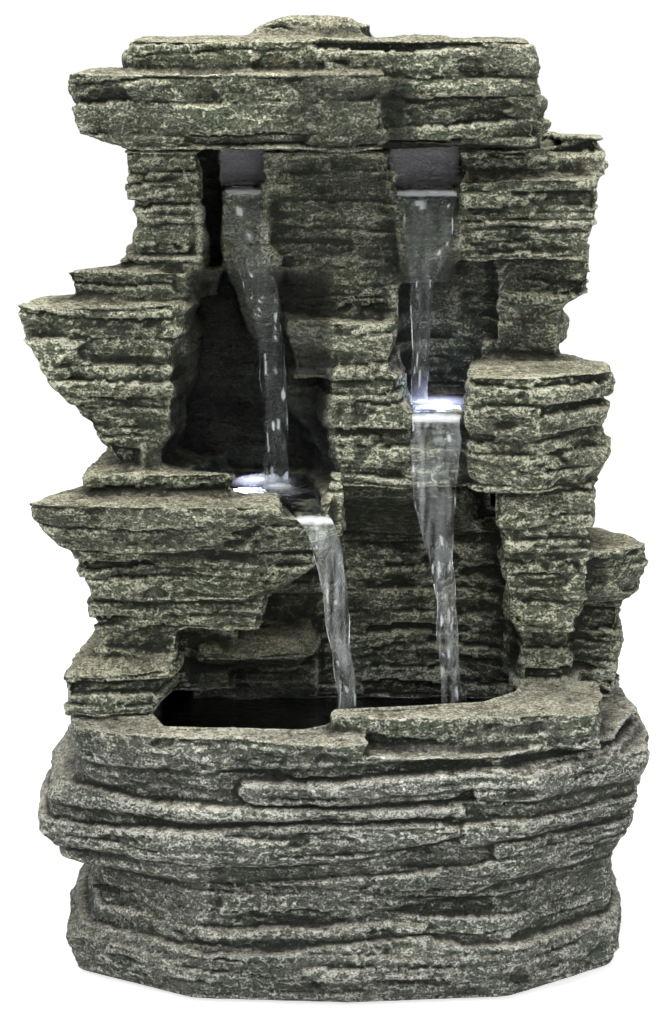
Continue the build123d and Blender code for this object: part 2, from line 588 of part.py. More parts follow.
def pump_body():
    x0, x1 = PUMP_X, PUMP_END
    y = HOSE_Y
    half = PUMP_WIDTH / 2
    block = span(x0, x1 - PUMP_WALL, y - half, y + half, PUMP_BASE, PUMP_TOP)
    block = fillet(block.edges().filter_by(Axis.X), PUMP_CORNER)
    neck = span(COVER_X, x0 + 1, y - half + PUMP_WALL + FIT, y + half - PUMP_WALL - FIT,
                PUMP_BASE + PUMP_WALL + FIT, PUMP_TOP - PUMP_WALL - FIT)
    block += fillet(neck.edges().filter_by(Axis.X), PUMP_CORNER - 1.5)
    tube = rod((x0 + VOLUTE_DEPTH, y, PUMP_AXIS), (1, 0, 0), ROTOR_BORE + ROTOR_TUBE_WALL,
               ROTOR_LENGTH + 5)
    chamber = span(x0 + VOLUTE_DEPTH + 3, x1, y - half + PUMP_WALL, y + half - PUMP_WALL,
                   PUMP_BASE + PUMP_WALL, PUMP_TOP - PUMP_WALL)
    block -= fillet(chamber.edges().filter_by(Axis.X), PUMP_CORNER - PUMP_WALL)
    block += tube
    volute = VOLUTE_DEPTH + NECK_LENGTH
    block -= rod((COVER_X, y, PUMP_AXIS), (1, 0, 0), VOLUTE_RADIUS + 1.5, NECK_LENGTH)
    block -= rod((COVER_X, y, PUMP_AXIS), (1, 0, 0), VOLUTE_RADIUS, volute)
    block -= rod((COVER_X, y, PUMP_AXIS), (1, 0, 0), ROTOR_BORE, volute + ROTOR_LENGTH)
    seat = x0 + VOLUTE_DEPTH + ROTOR_LENGTH
    block -= rod((seat - 1, y, PUMP_AXIS), (1, 0, 0), BUSH_RADIUS + FIT, BUSH_LENGTH + 1 - 0.5)
    block -= rod((0, y, PUMP_AXIS), (0, 0, 1), HOSE_BORE_RADIUS + FIT, PUMP_HEIGHT)
    for x, cup_y in CUPS:
        block -= rod((x, cup_y, PUMP_BASE - 1), (0, 0, 1), 2 + FIT, 2.6)
    return block


def pump_suction_cups():
    cups = []
    for x, y in CUPS:
        bell = Plane.XZ * Pos(x, 0) * Polyline(
            (0, CUP_HEIGHT), (0, 1.2), (CUP_RADIUS - 1.2, 0), (CUP_RADIUS, 0),
            (CUP_RADIUS - 2.4, 2.4), (2.6, 3.4), (2.6, CUP_HEIGHT), close=True)
        cup = revolve(make_face(bell), Axis((x, 0, 0), (0, 0, 1)))
        cup = Pos(0, y, FLOOR) * cup
        cup += rod((x, y, PUMP_BASE - 0.01), (0, 0, 1), 2, 1.5)
        cups.append(cup)
    return Compound([solid for cup in cups for solid in cup.solids()])


def pump_volute_cover():
    centre = (COVER_X, HOSE_Y, PUMP_AXIS)
    plate = rod(centre, (1, 0, 0), VOLUTE_RADIUS + 1.5 - FIT, NECK_LENGTH)
    plate -= rod(centre, (1, 0, 0), EYE_RADIUS, NECK_LENGTH)
    plate += rod(centre, (1, 0, 0), BUSH_RADIUS + 1.5, BUSH_LENGTH)
    for turn in (90, 210, 330):
        spoke = span(COVER_X, PUMP_X, -1, 1, BUSH_RADIUS + 0.5, EYE_RADIUS + 1)
        plate += Pos(0, HOSE_Y, PUMP_AXIS) * Rot(turn, 0, 0) * spoke
    return plate - rod(centre, (1, 0, 0), BUSH_RADIUS + FIT / 3, BUSH_LENGTH)


def pump_shaft_bushes():
    bushes = []
    for x in (COVER_X, REAR_BUSH_X):
        bush = rod((x, HOSE_Y, PUMP_AXIS), (1, 0, 0), BUSH_RADIUS, BUSH_LENGTH)
        bushes.append(bush - rod((x, HOSE_Y, PUMP_AXIS), (1, 0, 0), SHAFT_RADIUS, BUSH_LENGTH))
    return Compound([solid for bush in bushes for solid in bush.solids()])


def pump_impeller_shaft():
    start = COVER_X + 0.5
    end = REAR_BUSH_X + BUSH_LENGTH - 0.3
    return rod((start, HOSE_Y, PUMP_AXIS), (1, 0, 0), SHAFT_RADIUS, end - start)


def pump_impeller():
    hub = rod((IMPELLER_X, HOSE_Y, PUMP_AXIS), (1, 0, 0), HUB_RADIUS, MAGNET_X - IMPELLER_X)
    disc = rod((MAGNET_X - 2, HOSE_Y, PUMP_AXIS), (1, 0, 0), BLADE_RADIUS - 3, 2)
    wheel = hub + disc
    for blade in range(BLADE_COUNT):
        vane = span(IMPELLER_X, MAGNET_X - 1, -0.8, 0.8, HUB_RADIUS - 1, BLADE_RADIUS)
        wheel += Pos(0, HOSE_Y, PUMP_AXIS) * Rot(blade * 360 / BLADE_COUNT, 0, 0) * vane
    bore = SHAFT_RADIUS + RUNNING_CLEARANCE
    return wheel - rod((IMPELLER_X - 1, HOSE_Y, PUMP_AXIS), (1, 0, 0), bore, PUMP_LENGTH)


def pump_magnet():
    magnet = rod((MAGNET_X, HOSE_Y, PUMP_AXIS), (1, 0, 0), MAGNET_RADIUS, ROTOR_LENGTH - 2.4)
    bore = SHAFT_RADIUS + RUNNING_CLEARANCE
    return magnet - rod((MAGNET_X - 1, HOSE_Y, PUMP_AXIS), (1, 0, 0), bore, ROTOR_LENGTH + 2)


def pump_stator_core():
    """Laminated iron bridge: two legs beside the rotor tube and a bar over it."""
    inner = ROTOR_BORE + ROTOR_TUBE_WALL + FIT
    outer = PUMP_WIDTH / 2 - PUMP_WALL - 0.5
    x1 = CORE_X + CORE_THICKNESS
    core = span(CORE_X, x1, HOSE_Y - outer, HOSE_Y + outer, PUMP_AXIS - 7, BAR_Z + CORE_BAR)
    core -= span(CORE_X, x1, HOSE_Y - inner, HOSE_Y + inner, PUMP_AXIS - 8, BAR_Z)
    return core


def pump_coil():
    """Winding round the bar of the core."""
    half = ROTOR_BORE
    x0 = CORE_X - 4
    x1 = CORE_X + CORE_THICKNESS + 4
    low = BAR_Z - COIL_BUILD
    high = BAR_Z + CORE_BAR + COIL_BUILD
    coil = span(x0, x1, HOSE_Y - half, HOSE_Y + half, low, high)
    coil = fillet(coil.edges().filter_by(Axis.Y), 2)
    return coil - span(CORE_X - FIT, CORE_X + CORE_THICKNESS + FIT, HOSE_Y - half - 1,
                       HOSE_Y + half + 1, BAR_Z - FIT, BAR_Z + CORE_BAR + FIT)


def pump_end_plate():
    x1 = PUMP_END
    half = PUMP_WIDTH / 2
    plate = span(x1 - PUMP_WALL, x1, HOSE_Y - half, HOSE_Y + half, PUMP_BASE, PUMP_TOP)
    plate = fillet(plate.edges().filter_by(Axis.X), PUMP_CORNER)
    return plate - rod((x1 - 5, HOSE_Y, GLAND_Z), (1, 0, 0), GLAND_RADIUS + FIT / 3, 6)


def pump_cable_gland():
    x1 = PUMP_END
    gland = rod((x1 - PUMP_WALL - 1.5, HOSE_Y, GLAND_Z), (1, 0, 0), GLAND_RADIUS, PUMP_WALL + 1.5)
    gland += rod((x1, HOSE_Y, GLAND_Z), (1, 0, 0), GLAND_HEAD_RADIUS, GLAND_HEAD)
    hole = PUMP_LEAD_RADIUS + LEAD_CLEARANCE
    return gland - rod((x1 - 5, HOSE_Y, GLAND_Z), (1, 0, 0), hole, 14)


def pump_intake_cover():
    x1 = PUMP_X
    x0 = x1 - INTAKE_LENGTH
    half = PUMP_WIDTH / 2
    shell = span(x0, x1 - FIT, HOSE_Y - half, HOSE_Y + half, PUMP_BASE, PUMP_TOP)
    shell = fillet(shell.edges().filter_by(Axis.X), PUMP_CORNER)
    hollow = span(x0 + PUMP_WALL, x1, HOSE_Y - half + PUMP_WALL, HOSE_Y + half - PUMP_WALL,
                  PUMP_BASE + PUMP_WALL, PUMP_TOP - PUMP_WALL)
    shell -= fillet(hollow.edges().filter_by(Axis.X), PUMP_CORNER - PUMP_WALL + 0.2)
    pitch = (PUMP_WIDTH - 8) / INTAKE_SLOTS
    for slot in range(INTAKE_SLOTS):
        y = HOSE_Y + (slot - (INTAKE_SLOTS - 1) / 2) * pitch
        shell -= span(x0 - 1, x0 + 4, y - pitch * 0.28, y + pitch * 0.28, PUMP_BASE + 5,
                      DIAL_Z - DIAL_RADIUS - 3)
    shell -= rod((x0 - 1, HOSE_Y + 3.5, DIAL_Z), (1, 0, 0), PORT_RADIUS, 4)
    return shell + rod((x0 - 3.4, HOSE_Y, DIAL_Z), (1, 0, 0), DIAL_PIN_RADIUS, 4)


def pump_flow_dial():
    face = PUMP_X - INTAKE_LENGTH - FIT - DIAL_THICKNESS
    dial = rod((face, HOSE_Y, DIAL_Z), (1, 0, 0), DIAL_RADIUS, DIAL_THICKNESS)
    dial += span(face - 1.6, face, HOSE_Y - 0.9, HOSE_Y + 0.9, DIAL_Z + 2.4,
                 DIAL_Z + DIAL_RADIUS - 0.4)
    bore = DIAL_PIN_RADIUS + RUNNING_CLEARANCE
    return dial - rod((face - 3, HOSE_Y, DIAL_Z), (1, 0, 0), bore, 8)


def pump_outlet_nozzle():
    low = PUMP_TOP - 6
    length = PUMP_TOP - low + NOZZLE_COLLAR + HOSE_GRIP
    tube = rod((0, HOSE_Y, low), (0, 0, 1), HOSE_BORE_RADIUS, length)
    tube += rod((0, HOSE_Y, PUMP_TOP), (0, 0, 1), HOSE_RADIUS, NOZZLE_COLLAR)
    return tube - rod((0, HOSE_Y, low), (0, 0, 1), TUBE_BORE_RADIUS, 40)


# ---------------------------------------------------------------- hoses

RISER_LOW = PUMP_TOP + NOZZLE_COLLAR
SPLITTER_Z = rise(196)
SPIGOT_LOW = SPIGOT_Z - 20


def hose_splitter():
    low = SPLITTER_Z
    high = low + SPLITTER_BLOCK
    half = SPLITTER_SPACING / 2
    block = span(-half - 7, half + 7, HOSE_Y - 6.5, HOSE_Y + 6.5, low, high)
    block = fillet(block.edges().filter_by(Axis.Z), 4)
    stem = rod((0, HOSE_Y, low - HOSE_GRIP), (0, 0, 1), HOSE_BORE_RADIUS, HOSE_GRIP)
    splitter = block + stem
    drill = rod((0, HOSE_Y, low - HOSE_GRIP), (0, 0, 1), TUBE_BORE_RADIUS, HOSE_GRIP + 5)
    drill += rod((-half, HOSE_Y, low + 5), (1, 0, 0), TUBE_BORE_RADIUS, SPLITTER_SPACING)
    for x in (-half, half):
        splitter += rod((x, HOSE_Y, high), (0, 0, 1), HOSE_BORE_RADIUS, HOSE_GRIP)
        drill += rod((x, HOSE_Y, low + 5), (0, 0, 1), TUBE_BORE_RADIUS, HOSE_GRIP + 6)
    return splitter - drill


def riser_hose():
    length = SPLITTER_Z - RISER_LOW
    hose = rod((0, HOSE_Y, RISER_LOW), (0, 0, 1), HOSE_RADIUS, length)
    return hose - rod((0, HOSE_Y, RISER_LOW), (0, 0, 1), HOSE_BORE_RADIUS + HOSE_FIT, length)


def spigot_x(side):
    x0, x1 = NOTCHES[side]
    return (x0 + x1) / 2


def branch_hose(side):
    start_x = -SPLITTER_SPACING / 2 if side == "left" else SPLITTER_SPACING / 2
    end_x = spigot_x(side)
    low = SPLITTER_Z + SPLITTER_BLOCK
    high = SPIGOT_LOW + HOSE_GRIP
    run = (high - low) * 0.3
    points = [(start_x, HOSE_Y, low), (start_x, HOSE_Y, low + run),
              (end_x, HOSE_Y, high - run), (end_x, HOSE_Y, high)]
    return routed(f"branch_hose_{side}", points, HOSE_RADIUS, HOSE_BORE_RADIUS + HOSE_FIT)


def spigot(side):
    """Elbow pushed through the tower wall, its lower end in the hose."""
    x = spigot_x(side)
    route = [(x, HOSE_Y, SPIGOT_LOW), (x, HOSE_Y, SPIGOT_Z), (x, back(2), SPIGOT_Z)]
    path = FilletPolyline(*route, radius=SPIGOT_BEND)
    start = Plane(origin=path @ 0, z_dir=path % 0)
    elbow = sweep(start * Circle(HOSE_BORE_RADIUS), path)
    elbow -= sweep(start * Circle(TUBE_BORE_RADIUS), path)
    collar = rod((x, SHAFT_FRONT + FIT, SPIGOT_Z), (0, 1, 0), HOSE_RADIUS, 2)
    collar -= rod((x, SHAFT_FRONT, SPIGOT_Z), (0, 1, 0), HOSE_BORE_RADIUS - 0.5, 4)
    return elbow + collar


# ---------------------------------------------------------------- lights

def light_housing(x, y, floor):
    low = floor - LIGHT_HEIGHT
    cup = rod((x, y, low), (0, 0, 1), LIGHT_RADIUS, LIGHT_HEIGHT)
    cup -= rod((x, y, low + LIGHT_WALL), (0, 0, 1), LIGHT_RADIUS - LIGHT_WALL, LIGHT_HEIGHT)
    hole = LEAD_RADIUS + LEAD_CLEARANCE
    return cup - rod((x, y, floor - LIGHT_HEIGHT / 2), (0, 1, 0), hole, LIGHT_RADIUS + 2)


def light_board(x, y, floor):
    low = floor - LIGHT_HEIGHT + LIGHT_WALL
    board = rod((x, y, low), (0, 0, 1), LIGHT_RADIUS - LIGHT_WALL - FIT, BOARD_THICKNESS)
    return board + span(x - 2.5, x + 2.5, y - 2.5, y + 2.5, low + BOARD_THICKNESS,
                        low + BOARD_THICKNESS + 1.6)


def light_lens(x, y, floor):
    inner = LIGHT_RADIUS - LIGHT_WALL - FIT
    low = floor - 2.5
    lens = rod((x, y, low), (0, 0, 1), inner, 2.5 + LENS_RISE)
    return fillet(lens.edges().group_by(Axis.Z)[-1], LENS_RISE)


def light_grommet(x, y, floor):
    z = floor - LIGHT_HEIGHT / 2
    sleeve = rod((x, SHAFT_FRONT - 6, z), (0, 1, 0), GROMMET_RADIUS, 6)
    sleeve += rod((x, SHAFT_FRONT + FIT, z), (0, 1, 0), GROMMET_RADIUS + 2, GROMMET_FLANGE)
    sleeve += rod((x, SHAFT_FRONT - 1, z), (0, 1, 0), GROMMET_RADIUS, 2)
    return sleeve - rod((x, SHAFT_FRONT - 7, z), (0, 1, 0), LEAD_RADIUS + LEAD_CLEARANCE, 12)


def left_light_lead():
    x, y, floor = LIGHTS["left"]
    z = floor - LIGHT_HEIGHT / 2
    clip_x = BOX_X - BOX_WIDTH / 2 - 38
    entry = BOX_X - BOX_WIDTH / 2 + BOX_WALL
    return routed("led_left_lead", [
        (x, y + LIGHT_RADIUS - LIGHT_WALL, z), (x, LEAD_Y + 4, z), (x + 14, LEAD_Y + 4, z - 7),
        (clip_x, LEAD_Y, LEFT_ENTRY_Z), (entry, LEAD_Y, LEFT_ENTRY_Z)], LEAD_RADIUS)


def right_light_lead():
    x, y, floor = LIGHTS["right"]
    z = floor - LIGHT_HEIGHT / 2
    top = BOX_Z + BOX_HEIGHT
    drop = z - top
    return routed("led_right_lead", [
        (x, y + LIGHT_RADIUS - LIGHT_WALL, z), (x, LEAD_Y + 6, z),
        (x + 4, LEAD_Y + 6, z - drop * 0.4), (BOX_X + 4, LEAD_Y, top + drop * 0.25),
        (BOX_X + 4, LEAD_Y, top - BOX_WALL)], LEAD_RADIUS)


def lead_clip():
    """Moulded clip on the back of the web that holds the left light's lead."""
    x = BOX_X - BOX_WIDTH / 2 - 19
    radius = LEAD_RADIUS + LEAD_CLEARANCE
    block = span(x - 3, x + 3, SHAFT_FRONT, LEAD_Y + 3, LEFT_ENTRY_Z - 3, LEFT_ENTRY_Z + 3)
    block = fillet(block.edges().filter_by(Axis.X).group_by(Axis.Y)[-1], 2)
    return block - rod((x - 4, LEAD_Y, LEFT_ENTRY_Z), (1, 0, 0), radius, 8)


# ---------------------------------------------------------------- power

def box_screws():
    screws = []
    for x in (BOX_X - BOX_WIDTH / 2 + 4, BOX_X + BOX_WIDTH / 2 - 4):
        z = BOX_Z + BOX_HEIGHT / 2
        shank = rod((x, BOX_BACK - 6, z), (0, 1, 0), SCREW_RADIUS, 6 + BOX_WALL)
        head = rod((x, BOX_BACK + BOX_WALL, z), (0, 1, 0), SCREW_HEAD_RADIUS, 1.6)
        cross = span(x - 1.5, x + 1.5, BOX_BACK + BOX_WALL + 0.9, BOX_BACK + BOX_WALL + 2,
                     z - 0.3, z + 0.3)
        cross += span(x - 0.3, x + 0.3, BOX_BACK + BOX_WALL + 0.9, BOX_BACK + BOX_WALL + 2,
                      z - 1.5, z + 1.5)
        screws.append(shank + head - cross)
    return Compound([solid for screw in screws for solid in screw.solids()])


def junction_box():
    x0 = BOX_X - BOX_WIDTH / 2
    x1 = BOX_X + BOX_WIDTH / 2
    z1 = BOX_Z + BOX_HEIGHT
    box = span(x0, x1, BOX_FRONT, BOX_BACK, BOX_Z, z1)
    box = fillet(box.edges().filter_by(Axis.Y), 2)
    box -= span(x0 + BOX_WALL, x1 - BOX_WALL, BOX_FRONT + BOX_WALL, BOX_BACK + 1,
                BOX_Z + BOX_WALL, z1 - BOX_WALL)
    for x in (x0 + 4, x1 - 4):
        z = BOX_Z + BOX_HEIGHT / 2
        box += rod((x, BOX_FRONT + 1, z), (0, 1, 0), BOSS_RADIUS, BOX_DEPTH - 1)
        box -= rod((x, BOX_BACK - 7, z), (0, 1, 0), SCREW_RADIUS + 0.05, 8)
    thin = LEAD_RADIUS + LEAD_CLEARANCE
    box -= rod((x0 - 1, LEAD_Y, LEFT_ENTRY_Z), (1, 0, 0), thin, BOX_WALL + 1)
    box -= rod((BOX_X + 4, LEAD_Y, z1 - BOX_WALL), (0, 0, 1), thin, BOX_WALL + 1)
    box -= rod((PUMP_ENTRY_X, LEAD_Y, BOX_Z - 1), (0, 0, 1), PUMP_LEAD_RADIUS + LEAD_CLEARANCE,
               BOX_WALL + 1)
    return box - rod((INLET_X, LEAD_Y, BOX_Z - 1), (0, 0, 1), thin, BOX_WALL + 1)


def junction_box_lid():
    x0 = BOX_X - BOX_WIDTH / 2
    x1 = BOX_X + BOX_WIDTH / 2
    lid = span(x0, x1, BOX_BACK, BOX_BACK + BOX_WALL, BOX_Z, BOX_Z + BOX_HEIGHT)
    lid = fillet(lid.edges().filter_by(Axis.Y), 2)
    for x in (x0 + 4, x1 - 4):
        z = BOX_Z + BOX_HEIGHT / 2
        lid -= rod((x, BOX_BACK - 1, z), (0, 1, 0), SCREW_RADIUS + 0.05, 5)
    return lid


def pump_lead():
    low = GLAND_Z
    start = PUMP_END - PUMP_WALL
    top = BOX_Z + BOX_WALL
    height = top - low
    return routed("pump_lead", [
        (start, HOSE_Y, low), (start + 18, HOSE_Y, low), (start + 26, HOSE_Y - 3, low + 22),
        (PUMP_ENTRY_X, LEAD_Y, low + height * 0.62), (PUMP_ENTRY_X, LEAD_Y, top)],
        PUMP_LEAD_RADIUS)


def inlet_lead():
    start = REAR_FACE - INLET_INSET - INLET_BODY
    low = INLET_Z
    top = BOX_Z + BOX_WALL
    return routed("inlet_lead", [
        (INLET_X, start, low), (INLET_X, start - 22, low),
        (INLET_X, LEAD_Y, low + (top - low) * 0.42), (INLET_X, LEAD_Y, top)], LEAD_RADIUS)


def inlet_socket():
    outer = REAR_FACE - INLET_INSET
    socket = rod((INLET_X, outer, INLET_Z), (0, -1, 0), INLET_BARREL_RADIUS, INLET_BODY)
    socket += rod((INLET_X, outer, INLET_Z), (0, 1, 0), INLET_FLANGE_RADIUS, INLET_INSET)
    socket -= rod((INLET_X, REAR_FACE, INLET_Z), (0, -1, 0), INLET_BORE_RADIUS,
                  INLET_DEPTH + INLET_INSET)
    return socket + rod((INLET_X, outer - INLET_DEPTH - 1, INLET_Z), (0, 1, 0), INLET_PIN_RADIUS,
                        INLET_DEPTH)


def inlet_nut():
    hexagon = extrude(RegularPolygon(NUT_RADIUS, 6), NUT_THICKNESS)
    nut = Plane(origin=(INLET_X, SHAFT_BACK, INLET_Z), z_dir=(0, -1, 0)) * hexagon
    hole = INLET_BARREL_RADIUS + 0.05
    return nut - rod((INLET_X, SHAFT_BACK + 1, INLET_Z), (0, -1, 0), hole, NUT_THICKNESS + 2)


# ---------------------------------------------------------------- files

os.makedirs("parts", exist_ok=True)

base = base_casting()
save("base_casting", base)
save("tower_casting", tower_casting(base))

for build in (
    base_feet, cap_casting, rear_casting, service_door,
    pump_body, pump_suction_cups, pump_volute_cover, pump_shaft_bushes, pump_impeller_shaft,
    pump_impeller, pump_magnet, pump_stator_core, pump_coil, pump_end_plate,
    pump_cable_gland, pump_intake_cover, pump_flow_dial, pump_outlet_nozzle,
    riser_hose, hose_splitter, lead_clip, junction_box, junction_box_lid, box_screws,
    pump_lead, inlet_lead, inlet_socket, inlet_nut,
):
    save(build.__name__, build())

for side in NOTCHES:
    save(f"branch_hose_{side}", branch_hose(side))
    save(f"spigot_{side}", spigot(side))
    place = LIGHTS[side]
    save(f"led_{side}_housing", light_housing(*place))
    save(f"led_{side}_board", light_board(*place))
    save(f"led_{side}_lens", light_lens(*place))
    save(f"led_{side}_grommet", light_grommet(*place))

save("led_left_lead", left_light_lead())
save("led_right_lead", right_light_lead())
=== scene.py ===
from math import radians

import bpy
import numpy as np
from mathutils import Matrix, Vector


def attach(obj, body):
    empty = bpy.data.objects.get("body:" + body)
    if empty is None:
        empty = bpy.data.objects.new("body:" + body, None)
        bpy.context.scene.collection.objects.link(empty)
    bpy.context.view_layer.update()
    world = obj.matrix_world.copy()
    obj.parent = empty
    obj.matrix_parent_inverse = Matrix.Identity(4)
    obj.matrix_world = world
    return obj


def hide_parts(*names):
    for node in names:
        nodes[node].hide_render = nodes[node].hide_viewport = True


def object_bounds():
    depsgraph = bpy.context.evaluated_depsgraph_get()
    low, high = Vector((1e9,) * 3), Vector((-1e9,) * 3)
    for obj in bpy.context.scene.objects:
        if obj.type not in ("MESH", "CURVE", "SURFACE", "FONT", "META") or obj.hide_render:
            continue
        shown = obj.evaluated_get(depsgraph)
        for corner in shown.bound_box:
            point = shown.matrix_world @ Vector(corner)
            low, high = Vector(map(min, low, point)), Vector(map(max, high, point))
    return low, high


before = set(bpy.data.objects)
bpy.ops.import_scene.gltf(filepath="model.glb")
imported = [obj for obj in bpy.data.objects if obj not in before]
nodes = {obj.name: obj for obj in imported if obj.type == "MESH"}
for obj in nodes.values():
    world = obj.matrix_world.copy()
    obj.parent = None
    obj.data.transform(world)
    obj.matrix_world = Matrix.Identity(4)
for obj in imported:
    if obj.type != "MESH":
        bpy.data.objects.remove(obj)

cad_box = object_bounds()

# ------------ camera
# A camera a little over a metre in front of the fountain at standing-table eye level, looking
# slightly down so that the tops of the ledges show.
CAMERA_PLACE = (-0.003, -1.25, 0.44)
CAMERA_DIP = 11.39
CAMERA_LENS = 103.85
SENSOR_HEIGHT = 36.0

bpy.ops.object.select_all(action="DESELECT")
bpy.ops.object.camera_add(location=CAMERA_PLACE, rotation=(radians(90 - CAMERA_DIP), 0, 0))
camera = bpy.context.object
camera.data.sensor_fit = "VERTICAL"
camera.data.sensor_height = SENSOR_HEIGHT
camera.data.lens = CAMERA_LENS
bpy.context.scene.camera = camera
bpy.context.scene.view_settings.view_transform = "Standard"


# ------------ studio floor and lights
# A white studio sweep: a seamless pale floor, softboxes high on the left and overhead, weaker
# ones on the right and low in front, and an even grey surround.
FLOOR_SIZE = 30.0
FLOOR_COLOUR = (0.80, 0.80, 0.80, 1)
WHITENING = 0.75
SURROUND = 0.36
# Name, place, turn in degrees, size in metres, power in watts
SOFTBOXES = (
    ("softbox_left", (-0.95, -1.15, 1.45), (47, 0, -38), 0.9, 11.0),
    ("softbox_right", (1.3, -1.2, 0.9), (65, 0, 47), 0.9, 5.0),
    ("softbox_front", (0.15, -1.75, 0.22), (90, 0, 5), 0.7, 6.0),
    ("softbox_top", (0.0, -0.3, 1.7), (10, 0, 0), 0.9, 18.0),
)


def whitened(tree, plain, white):
    """Strength: plain for light on things, white where the camera, a gloss or glass sees it."""
    rays = tree.nodes.new("ShaderNodeLightPath")
    seen = rays.outputs["Is Camera Ray"]
    for ray in ("Is Glossy Ray", "Is Transmission Ray"):
        both = tree.nodes.new("ShaderNodeMath")
        both.operation = "MAXIMUM"
        tree.links.new(seen, both.inputs[0])
        tree.links.new(rays.outputs[ray], both.inputs[1])
        seen = both.outputs[0]
    strength = tree.nodes.new("ShaderNodeMapRange")
    tree.links.new(seen, strength.inputs["Value"])
    strength.inputs["To Min"].default_value = plain
    strength.inputs["To Max"].default_value = white
    return strength.outputs["Result"]


world = bpy.data.worlds.new("surround")
bpy.context.scene.world = world
world.use_nodes = True
surround = world.node_tree.nodes["Background"]
surround.inputs["Color"].default_value = (1, 1, 1, 1)
world.node_tree.links.new(whitened(world.node_tree, SURROUND, 1.0), surround.inputs["Strength"])

bpy.ops.mesh.primitive_plane_add(size=FLOOR_SIZE, location=(0, 0, 0))
floor = bpy.context.object
floor.name = "studio_floor"
floor_paint = bpy.data.materials.new("studio_floor")
floor_paint.use_nodes = True
tree = floor_paint.node_tree
tree.nodes.clear()
matt = tree.nodes.new("ShaderNodeBsdfDiffuse")
matt.inputs["Color"].default_value = FLOOR_COLOUR
glow = tree.nodes.new("ShaderNodeEmission")
tree.links.new(whitened(tree, 0.0, WHITENING), glow.inputs["Strength"])
both = tree.nodes.new("ShaderNodeAddShader")
tree.links.new(matt.outputs[0], both.inputs[0])
tree.links.new(glow.outputs[0], both.inputs[1])
out = tree.nodes.new("ShaderNodeOutputMaterial")
tree.links.new(both.outputs[0], out.inputs["Surface"])
floor.data.materials.append(floor_paint)

for name, place, turn, size, power in SOFTBOXES:
    bpy.ops.object.light_add(type="AREA", location=place,
                             rotation=[radians(angle) for angle in turn])
    softbox = bpy.context.object
    softbox.name = name
    softbox.data.size = size
    softbox.data.energy = power


# ------------ base casting
# The basin and its plinth: one hollow casting in resin filled with stone dust, moulded from
# stacked slate, washed dark in its beds and dry-brushed pale grey on every crest.
MM = 0.001
ROCK_TRIANGLES = 190000
GRAIN = 1.05
WELD = 0.00001  # metres
WEAR_STEPS = 8
BROAD_ROUNDS = 6
DEEPEST_CUT = -8.5
BOX_CLEARANCE = 0.05
BEDS_FROM, BEDS_TO = -20, 430
BED_THINNEST, BED_THICKEST = 3.2, 11.5
BED_LOG_MEAN, BED_LOG_SPREAD = 1.80, 0.42
# Keeps one bed's noise clear of the next bed's
BED_APART = 977.0
DIRECTIONS = 4096
ARROW_SEED = 7
AXIS_PRIMES = (73856093, 19349663, 83492791)
SEED_PRIME, MIX_PRIME = 2654435761, 1274126177
RIPPLE_GAIN = 1.6

draw = np.random.default_rng(ARROW_SEED)
ARROWS = draw.normal(size=(DIRECTIONS, 3)).astype(np.float32)
ARROWS /= np.linalg.norm(ARROWS, axis=1, keepdims=True)


def ripple(points, size, seed):
    """Smooth noise between about -1 and 1 whose lumps have the given size, in millimetres."""
    place = points / np.asarray(size, np.float32)
    cell = np.floor(place)
    part = (place - cell).astype(np.float32)
    fade = part * part * part * (part * (part * 6 - 15) + 10)
    cell = cell.astype(np.int64)
    keys = [(cell[:, a] * prime, (cell[:, a] + 1) * prime) for a, prime in enumerate(AXIS_PRIMES)]
    total = np.zeros(len(points), np.float32)
    for i in (0, 1):
        for j in (0, 1):
            for k in (0, 1):
                mix = keys[0][i] ^ keys[1][j] ^ keys[2][k] ^ (seed * SEED_PRIME)
                mix = (mix ^ (mix >> 13)) * MIX_PRIME
                arrow = ARROWS[(mix >> 7) & (DIRECTIONS - 1)]
                reach = (arrow[:, 0] * (part[:, 0] - i) + arrow[:, 1] * (part[:, 1] - j)
                         + arrow[:, 2] * (part[:, 2] - k))
                share = ((fade[:, 0] if i else 1 - fade[:, 0])
                         * (fade[:, 1] if j else 1 - fade[:, 1])
                         * (fade[:, 2] if k else 1 - fade[:, 2]))
                total += share * reach
    return total * RIPPLE_GAIN


def eased(value, low, high):
    """0 below low, 1 above high, and a smooth ramp between."""
    t = np.clip((value - low) / (high - low), 0, 1)
    return t * t * (3 - 2 * t)


def neighbour_mean(values, edges, count):
    """Mean of each corner's neighbours along the mesh's edges."""
    tally = np.bincount(edges.ravel(), minlength=count).astype(np.float32)
    result = np.empty_like(values)
    for a in range(values.shape[1]):
        total = np.bincount(edges[:, 0], weights=values[edges[:, 1], a], minlength=count)
        total += np.bincount(edges[:, 1], weights=values[edges[:, 0], a], minlength=count)
        result[:, a] = total / np.maximum(tally, 1)
    return result


def mesh_arrays(mesh):
    """Corner places in millimetres, corner normals and edges of a mesh."""
    count = len(mesh.vertices)
    places = np.empty(count * 3, np.float32)
    mesh.vertices.foreach_get("co", places)
    normals = np.empty(count * 3, np.float32)
    mesh.vertex_normals.foreach_get("vector", normals)
    edges = np.empty(len(mesh.edges) * 2, np.int64)
    mesh.edges.foreach_get("vertices", edges)
    return places.reshape(-1, 3) / MM, normals.reshape(-1, 3), edges.reshape(-1, 2)


def select_only(piece):
    """Make a piece the only one selected, and the one that is edited."""
    bpy.ops.object.select_all(action="DESELECT")
    piece.select_set(True)
    bpy.context.view_layer.objects.active = piece


def apply_modifier(piece, kind, **settings):
    """Put a modifier on a piece with these settings and apply it."""
    modifier = piece.modifiers.new(kind.lower(), kind)
    for key, value in settings.items():
        setattr(modifier, key, value)
    bpy.context.view_layer.objects.active = piece
    bpy.ops.object.modifier_apply(modifier=modifier.name)


